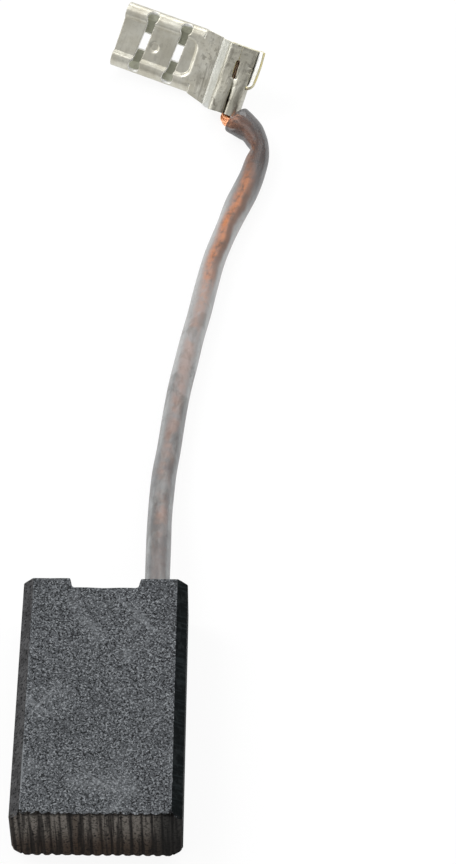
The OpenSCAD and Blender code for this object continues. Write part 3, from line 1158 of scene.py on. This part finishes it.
        first = (np.arange(count) * rows * cols)[:, None, None]
        made = Surface()
        made.add(points, (wire[None, :, :] + first).reshape(-1, 4))
        piece = made.build("copper_strands", [finish], 80.0)
        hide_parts("copper_rope")
        return piece


# ---------------------------------------------------------------- carbon block


@dataclass
class CarbonBlock:
    """Chamfered carbon block with a spring notch, a pigtail seat and a bedded wear face.

    Each chip of the wear face's front edge has its place across, its depth and its width.
    """

    width: float = 16.0
    length: float = 26.8
    thickness: float = 7.3
    front_chamfer: float = 1.0
    back_chamfer: float = 1.2
    notch_w: float = 6.8
    notch_depth: float = 1.1
    notch_corner_r: float = 0.4
    grooves: int = 17
    groove_depth: float = 0.16
    hole: tuple[float, float] = (4.9, 3.65)
    hole_r: float = 1.4
    end_reach: float = 3.0
    chips: tuple[Point, ...] = (
        (-7.0, 0.30, 0.30), (-6.3, 0.12, 0.2), (-5.4, 0.22, 0.3), (6.95, 0.28, 0.35), (2.1, 0.1, 0.4),
    )  # fmt: skip

    def lines(self) -> tuple[Array, Array, Array]:
        """Gives the grid lines of the box: even, with more at its edges, ends and notch walls.

        Returns:
            Places across, along and through it.
        """
        hw, hl, t, wall = self.width / 2, self.length / 2, self.thickness, self.notch_w / 2
        near = np.array([0.0, 0.02, 0.05, 0.1, 0.16])
        walls, end = np.linspace(-0.2, 0.14, 9), np.linspace(0.0, 0.8, 9)
        x = [np.linspace(-hw, hw, 225), -hw + near, hw - near, wall + walls, -wall + walls]
        y = [np.linspace(-hl, hl, 61), -hl + near, hl - near, -hl + end, hl - end]
        z = [np.linspace(0, t, 61), near, t - near]
        return tuple(np.unique(np.round(np.concatenate(v), 4)) for v in (x, y, z))

    def wear_depth(self, x: Array, z: Array) -> Array:
        """Gives the wear face's depth: depth times an eased valley in each pitch, plus fine scores.

        Args:
            x: Places across the face.
            z: Places through it.

        Returns:
            The depths.
        """
        pitch = self.width / self.grooves
        phase = np.mod((x + self.width / 2) / pitch + 0.03 * wobble(z, 0.0, 3, scale=1.2), 1.0)
        valley = smoothstep(0.14, 0.5, np.abs(phase - 0.5))
        deep = 0.85 + 0.25 * wobble(x, 0.0, 21, scale=2.5)
        scores = 0.012 * wobble(x, z * 0.02, 8, 14, 22.0)
        return np.clip(self.groove_depth * valley * deep + scores, 0.0, 0.3)

    def top_depth(self, x: Array, z: Array) -> Array:
        """Gives the top's depth: the notch with corners of a quarter circle, and the pigtail's seat.

        Args:
            x: Places across the top.
            z: Places through it.

        Returns:
            The depths.
        """
        half, r = self.notch_w / 2, self.notch_corner_r
        over = np.clip(np.abs(x) - (half - r - 0.1), 0.0, r)
        floor = self.notch_depth - (r - np.sqrt(np.maximum(r * r - over * over, 0.0)))
        notch = floor * smoothstep(half + 0.1, half - 0.16, np.abs(x))
        off = np.hypot(x - self.hole[0], z - self.hole[1])
        return np.maximum(notch, 0.7 * smoothstep(self.hole_r + 0.05, self.hole_r - 0.05, off))

    def shape(self, x: Array, y: Array, z: Array) -> Array:
        """Moves points of the plain box onto the block.

        The two ends are pushed in by their depths, faded out along the block. Then every edge is
        cut by a plane at a depth of its own: points beyond it go back along its normal.

        Args:
            x: Places across the box.
            y: Places along it.
            z: Places through it.

        Returns:
            The block's points, n by 3.
        """
        hw, hl, t = self.width / 2, self.length / 2, self.thickness
        low, high = self.wear_depth(x, z), self.top_depth(x, z)
        fade_low, fade_high = (np.clip(1 + (k * y - hl) / self.end_reach, 0, 1) for k in (-1, 1))
        y = y + low * fade_low - high * fade_high
        wear = 0.05 + 0.03 * wobble(x, y, 31, scale=1.4)
        fine = 0.03 * wobble(x, y, 33, 12, 7.0) + 0.02 * wobble(x, y, 34, 12, 15.0)
        chip = sum(a * np.exp(-(((x - at) / w) ** 2)) for at, a, w in self.chips)
        front = self.front_chamfer + fine * 0.4
        ragged = np.maximum(wear + 2.2 * fine, 0.02) + chip
        place = np.stack([x, y, z], axis=-1)
        # Distance of each side's plane from the origin, by axis and direction.
        edge = {(0, 1): hw, (0, -1): hw, (1, 1): hl - high, (1, -1): hl - low, (2, 1): t, (2, -1): 0.0}
        cuts = (
            ((0, 1), (2, 1), front), ((0, -1), (2, 1), front),
            ((0, 1), (2, -1), self.back_chamfer), ((0, -1), (2, -1), self.back_chamfer),
            ((1, -1), (2, 1), ragged), ((1, -1), (2, -1), wear),
            ((1, 1), (2, 1), wear), ((1, 1), (2, -1), wear),
            ((1, -1), (0, 1), wear + 0.06), ((1, -1), (0, -1), wear + 0.06),
            ((1, 1), (0, 1), wear), ((1, 1), (0, -1), wear),
        )  # fmt: skip
        move, soft = np.zeros_like(place), 0.04
        for *sides, cut in cuts:
            over = cut + sum(sign * place[..., axis] - edge[axis, sign] for axis, sign in sides)
            eased = (over + soft) ** 2 / (4 * soft)
            push = np.where(np.abs(over) < soft, eased, np.maximum(over, 0.0)) / 2
            for axis, sign in sides:
                move[..., axis] -= sign * push
        return place + move

    def wrap(self, sizes: list[int]) -> tuple[Array, Array]:
        """Lays a grid on each side of a box and joins the six along their common points.

        Args:
            sizes: Number of grid lines along each axis.

        Returns:
            Grid numbers of the points, n by 3, and the quads, facing outwards.
        """
        quads, points, count = [], [], 0
        for axis in range(3):
            a, b = [k for k in range(3) if k != axis]
            for end in (0, sizes[axis] - 1):
                i, j = np.meshgrid(np.arange(sizes[a]), np.arange(sizes[b]), indexing="ij")
                index = np.zeros((i.size, 3), dtype=np.int64)
                index[:, a], index[:, b], index[:, axis] = i.ravel(), j.ravel(), end
                sheet = grid_faces(sizes[a], sizes[b])
                outward = (end > 0) != (axis == 1)
                quads.append((sheet[:, ::-1] if outward else sheet) + count)
                points.append(index)
                count += len(index)
        unique, back = np.unique(np.vstack(points), axis=0, return_inverse=True)
        return unique, back.ravel()[np.vstack(quads)]

    def build(self, face: Material, skin: Material, worn_and_painted_light: Material) -> Piece:
        """Wraps a box grid on all six sides, shapes it and dresses its faces by their directions.

        Args:
            face: Material of the broad faces and the notch.
            skin: Material of the chamfers and narrow sides.
            worn_and_painted_light: Material of the wear face.

        Returns:
            The block.
        """
        lines = self.lines()
        index, quads = self.wrap([len(v) for v in lines])
        points = self.shape(*(lines[k][index[:, k]] for k in range(3)))
        p = points[quads]
        middle = p.mean(axis=1)
        normal = np.cross(p[:, 2] - p[:, 0], p[:, 3] - p[:, 1])
        normal /= np.linalg.norm(normal, axis=1, keepdims=True) + 1e-12
        slot = np.zeros(len(quads), dtype=np.int32)
        slot[np.abs(normal[:, 0]) > 0.5] = 1
        slot[(np.abs(middle[:, 0]) < self.notch_w / 2 + 0.1) & (normal[:, 1] > -0.5)] = 0
        slot[normal[:, 1] < -0.35] = 2
        surface = Surface()
        surface.add(points, quads, slots=slot)
        piece = surface.build("carbon_body", [face, skin, worn_and_painted_light], 50.0)
        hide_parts("carbon_block")
        return piece


# ---------------------------------------------------------------- flag terminal


@dataclass(frozen=True)
class Barrel:
    """How the wings of one barrel close over the rope.

    Height over the plate's back, place of the seam along u, radius of the outer shoulders, radius
    of the lips at the seam (none where the wings meet edge to edge), and the far wing's fall from
    the seam out and lean outwards.
    """

    height: float
    seam: float
    shoulder: float
    lip: float
    fall: float


@dataclass
class FlagTerminal:
    """Flag receptacle and crimp, folded from one sheet.

    Its own frame: u along the tab from the mouth, v across it, w out of its back. Angles are in
    degrees. Each dent of the crimp has its place along u and v and its depth. The seam's slot has
    both its ends and half its width, and the seam's hole its middle, reach and half its width.
    """

    at: Point = (-1.5, 93.3, 4.6)
    heading: float = -27.0
    tilt: float = 46.0
    dip: float = 5.0
    sheet: float = 0.4
    width: float = 7.6
    roll_d: float = 2.1
    roll_l: float = 9.8
    floor_drop: float = 0.35
    floor_l: float = 9.3
    lip_v: float = 1.0
    lip_run: float = 0.75
    lip_r: float = 1.9
    slot_w: float = 0.96
    slots: tuple[float, float] = (3.1, 7.3)
    slot_slant: float = 0.07
    slot_ends: tuple[float, float] = (-3.68, 3.66)
    slot_end_r: float = 0.7
    dimple_at: tuple[float, float] = (4.45, -0.2)
    dimple_r: float = 0.66
    dimple_depth: float = 0.17
    plate_to: float = 12.0
    plate_edges: tuple[tuple[float, float], tuple[float, float]] = ((3.8, 3.55), (3.8, 4.4))
    web: tuple[tuple[float, float], ...] = (
        (12.2, -0.15), (12.4, 0.0), (12.65, 0.25), (12.95, 0.55), (13.2, 0.8),
    )  # fmt: skip
    crimp_at: float = 15.0
    barrel_w: float = 3.4
    conductor: tuple[float, float] = (-0.4, 3.5)
    insulation: tuple[float, float] = (-4.5, -0.8)
    low_barrel: Barrel = Barrel(height=1.84, seam=15.0, shoulder=0.32, lip=0.0, fall=0.12)
    high_barrel: Barrel = Barrel(height=2.12, seam=15.28, shoulder=0.45, lip=0.26, fall=0.0)
    floor_r: float = 0.4
    rope_w: float = 0.69
    ribs: tuple[float, ...] = (0.12, 0.99, 1.86, 2.72)
    rib_h: float = 0.008
    seam_slot: Point = (-0.45, 1.7, 0.22)
    seam_hole: Point = (-2.9, 0.5, 0.15)
    seam_gap: float = 0.03
    mouth_flare: float = 0.02
    tab_waves: float = 0.035
    crimp_waves: float = 0.012
    dents: tuple[Point, ...] = ((16.42, 1.4, 0.3), (16.4, 0.75, 0.32))
    stub_to: float = 17.4
    stub_from: float = -1.0
    stub_line: tuple[tuple[float, float], ...] = (
        (16.6, -0.25), (16.83, -0.18), (16.92, 0.05), (16.94, 0.5), (16.96, 1.0), (17.08, 1.36),
        (17.44, 1.53),
    )  # fmt: skip

    def turn(self) -> Array:
        """Multiplies the turns about the part's axes: heading times tilt times dip.

        Returns:
            The directions u, v and w in the part's frame, as columns.
        """
        a, b, c = (math.radians(v) for v in (self.heading, self.tilt, self.dip))
        z = np.array([[math.cos(a), -math.sin(a), 0], [math.sin(a), math.cos(a), 0], [0, 0, 1]])
        x = np.array([[1, 0, 0], [0, math.cos(b), -math.sin(b)], [0, math.sin(b), math.cos(b)]])
        y = np.array([[math.cos(c), 0, math.sin(c)], [0, 1, 0], [-math.sin(c), 0, math.cos(c)]])
        return z @ x @ y

    def placed(self, points: Array) -> Array:
        """Takes points from the terminal's frame to the part's frame."""
        return points @ self.turn().T + np.array(self.at)

    def crimp_run(self) -> Array:
        """Gives points on the rope's axis in the crimp, through the high and then the low barrel.

        Returns:
            The points in the part's frame, 4 by 3.
        """
        u, w = self.crimp_at, self.rope_w
        start, end = self.insulation[0], self.conductor[1]
        return self.placed(np.array([
            (u + 0.35, start - 0.25, w),
            (u + 0.35, start + 0.2, w),
            (u + 0.1, self.conductor[0] - 0.05, w + 0.03),
            (u, end - 0.3, w + 0.03),
        ]))  # fmt: skip

    def half_section(self) -> Array:
        """Gives half of the receptacle's middle line, from its centre out over the roll to the lip.

        It is straight to the crown, then half a turn of a circle, a straight run back underneath
        and an arc up to the lip.

        Returns:
            The points (v, w).
        """
        t = self.sheet / 2
        crown, r = self.width / 2 - self.roll_d / 2, self.roll_d / 2 - t
        centre_w = -self.roll_d / 2
        v = np.linspace(0, crown, 34)
        under = self.lip_v + self.lip_run
        lip_r = self.lip_r - t
        lip_end = math.degrees(math.asin(self.lip_run / lip_r))
        bottom_w = -self.roll_d + t
        return np.vstack([
            np.stack([v, np.full_like(v, -t)], axis=1),
            arc_points((crown, centre_w), r, 90, -90, 34)[1:],
            np.stack([np.linspace(crown, under, 12), np.full(12, bottom_w)], axis=1)[1:],
            arc_points((under, bottom_w + lip_r), lip_r, -90, -90 - lip_end, 10)[1:],
        ])

    def floor_share(self, u: Array, v: Array) -> Array:
        """Eases the distance from a rounded rectangle: 1 on the dropped floor and 0 on the plate.

        Args:
            u: Places along the tab.
            v: Places across it.

        Returns:
            The shares.
        """
        half, r = self.width / 2 - 1.65 * self.roll_d / 2, 1.0
        du, dv = u - (self.floor_l - r), np.abs(v) - (half - r)
        off = np.hypot(np.maximum(du, 0), np.maximum(dv, 0)) + np.minimum(np.maximum(du, dv), 0) - r
        return smoothstep(0.38, -0.12, off)

    def slot_distance(self, u: Array, run: Array) -> Array:
        """Signed distance to the nearest slot's border, negative inside.

        A slot is a straight band across the developed section, slightly slanted, that ends in a
        round hole on either roll.

        Args:
            u: Places along the tab.
            run: Places along the section, measured on the sheet from its middle.

        Returns:
            The distances.
        """
        low, high = self.slot_ends
        r, half = self.slot_end_r, self.slot_w / 2
        nearest = np.full(np.broadcast(u, run).shape, 1e3)
        for at in self.slots:
            du = u - at - self.slot_slant * run
            past = np.maximum(np.maximum(run - (high - r), (low + r) - run), 0.0)
            band = np.hypot(du, past) - half
            ends = np.minimum(np.hypot(du, run - (high - r)), np.hypot(du, run - (low + r))) - r
            nearest = np.minimum(nearest, np.minimum(band, ends))
        return nearest

    def tab_surface(self) -> Surface:
        """Carries the section along u, with slots left out and their borders drawn onto the grid.

        A point is (u, v, w) of the section, less the floor's drop times its share and less the
        dimple's bowl. Beyond the rolls the outer columns lie flat, out to the plate's edge. Points
        within half a cell of a slot's border are moved onto it along the distance's gradient.

        Returns:
            The sheet's middle surface.
        """
        half = self.half_section()
        section = np.vstack([half[::-1] * [-1, 1], half[1:]])
        crown_n, edge_n, mid = 33, 12, len(half) - 1
        developed = arc_length(section)
        developed -= developed[mid]
        along_rolls = np.linspace(0, self.roll_l, 140)
        along_plate = np.linspace(self.roll_l + 0.12, self.plate_to, 24)
        u = np.unique(np.round(np.concatenate([along_rolls, along_plate]), 4))
        uu, ss = np.meshgrid(u, developed, indexing="ij")
        off = self.slot_distance(uu, ss)
        step = 1e-3
        slope_u = (self.slot_distance(uu + step, ss) - off) / step
        slope_s = (self.slot_distance(uu, ss + step) - off) / step
        cell_u, cell_s = np.gradient(uu, axis=0), np.gradient(ss, axis=1)
        reach = 0.5 * np.maximum(np.abs(slope_u) * cell_u, np.abs(slope_s) * cell_s)
        on_top = (np.abs(ss) < 5.0) & (uu < self.roll_l - 0.3)
        close = (np.abs(off) <= reach) & on_top
        hole = (off < 0) & ~close & on_top
        uu = uu - np.where(close, off * slope_u, 0.0)
        ss = ss - np.where(close, off * slope_s, 0.0)
        vv = np.interp(ss, developed, section[:, 0])
        ww = np.interp(ss, developed, section[:, 1])
        column = np.abs(np.arange(len(section)) - mid)
        beyond = column[None, :] > crown_n
        flat = (uu > self.roll_l + 0.01) & beyond
        ends = [self.roll_l, self.plate_to]
        edge = np.where(vv > 0, *(np.interp(uu, ends, side) for side in self.plate_edges))
        crown = self.width / 2 - self.roll_d / 2
        out = np.clip((column - crown_n) / edge_n, 0, 1)[None, :]
        sign = np.sign(np.arange(len(section)) - mid)[None, :]
        vv = np.where(flat, sign * (crown + (edge - crown) * out), vv)
        ww = np.where(flat, -self.sheet / 2, ww)
        bowl = np.hypot(uu - self.dimple_at[0], vv - self.dimple_at[1]) / self.dimple_r
        dropped = self.floor_drop * self.floor_share(uu, vv)
        dropped = dropped + self.dimple_depth * smoothstep(1.08, 0.62, bowl)
        ww = np.where(beyond, ww, ww - dropped)
        inside = smoothstep(0.0, 1.5, self.width / 2 - np.abs(vv))
        ww = ww + self.tab_waves * wobble(uu * 0.8, vv * 0.8, 61) * inside
        rows, cols = uu.shape
        quads = grid_faces(rows, cols)[:, ::-1]
        first = (quads // cols).min(axis=1)
        outer = column[quads % cols].max(axis=1)
        split = np.searchsorted(u, self.roll_l + 0.01) - 1
        gone = (first == split) & (outer > crown_n)
        gone |= (first > split) & (outer > crown_n + edge_n)
        gone |= hole.ravel()[quads].any(axis=1)
        points = self.placed(np.stack([uu, vv, ww], axis=-1).reshape(-1, 3))
        made = Surface()
        made.add(points, quads[~gone], np.stack([uu, vv], axis=-1) / 10.0)
        return made

    def wing_lines(self, barrel: Barrel) -> tuple[Array, Array]:
        """Gives the near and the far wing's middle lines across one barrel.

        Near: plate, inclined web, shoulder, flat top and lip down at the seam. Far: the same from
        the seam out, then the wall, the barrel's floor and its near corner.

        Args:
            barrel: The barrel.

        Returns:
            Both lines, n by 2.
        """
        t, lip, seam = self.sheet / 2, barrel.lip, barrel.seam
        top = barrel.height - t
        left, right = self.crimp_at - self.barrel_w / 2 + t, self.crimp_at + self.barrel_w / 2 - t
        near_lip, far_lip = [[(seam - 0.01, top)]], [[(seam + 0.01, top)]]
        if lip:
            low = top - lip
            near_lip = [arc_points((seam - t - lip, low), lip, 90, 0, 12), [(seam - t, low - 0.3)]]
            far_lip = [[(seam + t, low - 0.3)], arc_points((seam + t + lip, low), lip, 180, 90, 12)]
        r, floor_r = barrel.shoulder, self.floor_r
        wall, fallen = right + barrel.fall, top - barrel.fall
        near = np.vstack([
            [(self.plate_to, -t), (self.plate_to + 0.05, -t), *self.web, (left - 0.05, 1.05)],
            arc_points((left + r, top - r), r, 160, 90, 16),
            *near_lip,
        ])  # fmt: skip
        far = np.vstack([
            *far_lip,
            arc_points((wall - r, fallen - r), r, 80, 0, 16),
            arc_points((right - floor_r, floor_r - t), floor_r, 0, -90, 8),
            arc_points((left + floor_r, floor_r - t), floor_r, -90, -180, 8),
            [(left, 0.6)],
        ])  # fmt: skip
        return self.resample(near, 110), self.resample(far, 110)

    @staticmethod
    def resample(line: Array, n: int) -> Array:
        """Lays equally spaced samples along a line.

        Args:
            line: Points of the line, m by 2.
            n: Number of samples.

        Returns:
            The samples, n by 2.
        """
        run = arc_length(line)
        at = np.linspace(0, run[-1], n)
        return np.stack([np.interp(at, run, line[:, k]) for k in range(2)], axis=1)

    def seam_opening(self, v: Array) -> Array:
        """Gives half the gap at the seam: a slot in the low barrel and a round hole in the high one.

        Args:
            v: Places across the crimp.

        Returns:
            The half widths.
        """
        low, high, half_slot = self.seam_slot
        at, reach, half_hole = self.seam_hole
        slot = smoothstep(low - 0.12, low + 0.12, v) * smoothstep(high + 0.15, high - 0.15, v)
        hole = np.exp(-(((v - at) / reach) ** 2))
        return half_slot * slot + half_hole * hole + self.seam_gap * smoothstep(-0.9, -2.2, v)

    def crimp_surface(self) -> Surface:
        """Carries both wings' lines along v, from the high barrel to the low one.

        A point is the low barrel's line mixed into the high barrel's by an eased share of v, moved
        along the line's normal by faint ribs, dents and waves, and along u by the seam's opening
        near the lips. At the low barrel's end the sheet flares up, and at the high barrel's end
        the near wing's edge follows the plate's.

        Returns:
            The sheet's middle surface.
        """
        made = Surface()
        v = np.linspace(self.insulation[0], self.conductor[1] - 0.1, 170)
        low, high = self.wing_lines(self.low_barrel), self.wing_lines(self.high_barrel)
        share = smoothstep(0.9, -3.0, v)[:, None, None]
        end = self.conductor[1]
        flare = self.mouth_flare * smoothstep(end - 0.5, end - 0.08, v)[:, None]
        for number in range(2):
            line = low[number][None] * (1 - share) + high[number][None] * share
            along = np.gradient(line, axis=1)
            along /= np.linalg.norm(along, axis=2, keepdims=True)
            on_barrel = smoothstep(0.7, 1.2, line[..., 1])
            to_rib = np.abs(v[:, None] - np.array(self.ribs)[None, :]).min(axis=1)
            ribs = (self.rib_h * smoothstep(0.26, 0.08, to_rib))[:, None]
            rise = ribs * on_barrel * (1 - share[..., 0])
            for at, where, deep in self.dents:
                off = ((line[..., 0] - at) / 0.12) ** 2 + ((v[:, None] - where) / 0.1) ** 2
                rise = rise - deep * np.exp(-off) * on_barrel
            waves = wobble(v[:, None] * 1.1, line[..., 0] * 1.3, 50 + number)
            rise = rise + self.crimp_waves * waves * on_barrel
            uu = line[..., 0] - along[..., 1] * rise
            ww = line[..., 1] + along[..., 0] * rise + flare * on_barrel
            cell = np.linalg.norm(np.diff(line[0], axis=0), axis=1).mean()
            spare = np.arange(line.shape[1])[None, :] * cell
            spare = spare if number else spare[:, ::-1]
            pull = smoothstep(0.6, 0.25, spare) * self.seam_opening(v)[:, None]
            uu = uu + (pull if number else -pull)
            vv = np.broadcast_to(v[:, None], uu.shape)
            if number == 0:
                start = self.insulation[0]
                stops = [self.plate_to, 12.8, 14.6]
                edge = np.interp(line[..., 0], stops, [-self.plate_edges[1][1], -4.62, start])
                vv = vv + (edge - start) * smoothstep(-2.5, start, v)[:, None]
            points = self.placed(np.stack([uu, vv, ww], axis=-1).reshape(-1, 3))
            made.add(points, grid_faces(*uu.shape), np.stack([uu, vv], axis=-1) / 10.0)
        return made

    def stub_surface(self) -> Surface:
        """Lays the cut-off carrier strip: flat beside the barrel, curled up at its cut edge.

        A point is the curled profile at v, with its reach shortened by a quarter circle at the
        lower corner and swollen slightly half way up.

        Returns:
            The strip's middle surface.
        """
        v = np.linspace(self.stub_from, self.conductor[1] - 0.02, 60)
        line = self.resample(np.array(self.stub_line), 26)
        corner = np.sqrt(np.clip(1 - (1 - np.clip((v - self.stub_from) / 0.7, 0, 1)) ** 2, 0.02, 1))
        swell = 0.16 * np.clip(1 - ((v - 1.5) / 2.4) ** 2, -0.6, 1)
        root = line[0, 0]
        uu = root + (line[None, :, 0] - root) * (corner + swell / (self.stub_to - root))[:, None]
        ww = np.broadcast_to(line[None, :, 1], uu.shape)
        vv = np.broadcast_to(v[:, None], uu.shape)
        points = self.placed(np.stack([uu, vv, ww], axis=-1).reshape(-1, 3))
        made = Surface()
        made.add(points, grid_faces(*uu.shape)[:, ::-1], np.stack([uu, vv], axis=-1) / 10.0)
        return made

    def thicken(self, piece: Piece) -> None:
        """Gives a sheet its thickness about its middle, with finishes for back, inside and rim.

        Args:
            piece: The sheet.
        """
        wall = piece.modifiers.new("wall", "SOLIDIFY")
        wall.thickness = self.sheet * MM
        wall.offset = 0.0
        wall.material_offset = 1
        wall.material_offset_rim = 2

    def build(
        self, plate: Material, bore: Material, worked: Material, edge: Material
    ) -> list[Piece]:
        """Builds the tab, the crimp and the stub.

        Args:
            plate: Material of the sheet's back.
            bore: Material of its inner side.
            worked: Material of sheared or burnished places, painted near-white as a painted highlight.
            edge: Material of the edges cut after plating.

        Returns:
            The pieces.
        """
        pieces = []
        for name, surface, finishes in (
            # The receptacle's cut edges take the near-white finish: painted highlight on the rims and
            # slot walls.
            ("receptacle_sheet", self.tab_surface(), [plate, bore, worked]),
            ("crimp_sheet", self.crimp_surface(), [plate, bore, edge]),
            # The stub is near-white on both sides: painted highlight where the barrel shades it.
            ("carrier_stub", self.stub_surface(), [worked, worked, edge]),
        ):
            piece = surface.build(name, finishes, 45.0)
            self.thicken(piece)
            pieces.append(piece)
        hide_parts("flag_terminal")
        return pieces


# ---------------------------------------------------------------- the whole part


@dataclass
class MotorBrush:
    """The brush with all its pieces."""

    block: CarbonBlock = field(default_factory=CarbonBlock)
    pigtail: Pigtail = field(default_factory=Pigtail)
    terminal: FlagTerminal = field(default_factory=FlagTerminal)

    def build(self, nodes: dict[str, Piece]) -> None:
        """Args:
            nodes: The solids of the frame by name.
        """
        run = self.terminal.crimp_run()
        hose = self.pigtail.sleeve(SleeveFinish().material(), SleeveBoreFinish().material())
        rope = self.pigtail.rope(run, CopperFinish().material())
        sheets = self.terminal.build(
            TinFinish().material(), BoreFinish().material(), BURNISHED_AND_PAINTED_HIGHLIGHT.material(), BRASS_EDGE.material()
        )
        self.block.build(CarbonFinish().material(), SkinFinish().material(), WornFinish().material())
        nodes["contact_plug"].data.materials.clear()
        nodes["contact_plug"].data.materials.append(POWDER.material())
        for piece, path, width, end, others in (
            (hose, self.pigtail.sleeve_path(), self.pigtail.sleeve_d, "bare", []),
            (rope, self.pigtail.rope_path(run), self.pigtail.rope_d, "connector", sheets),
        ):
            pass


def main() -> None:
    """Loads the frame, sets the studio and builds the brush."""
    logging.basicConfig(level=logging.INFO, format="%(name)s: %(message)s")
    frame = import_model()
    Studio().build()
    MotorBrush().build(frame["nodes"])
    bpy.context.view_layer.update()


if __name__ == "__main__":
    main()
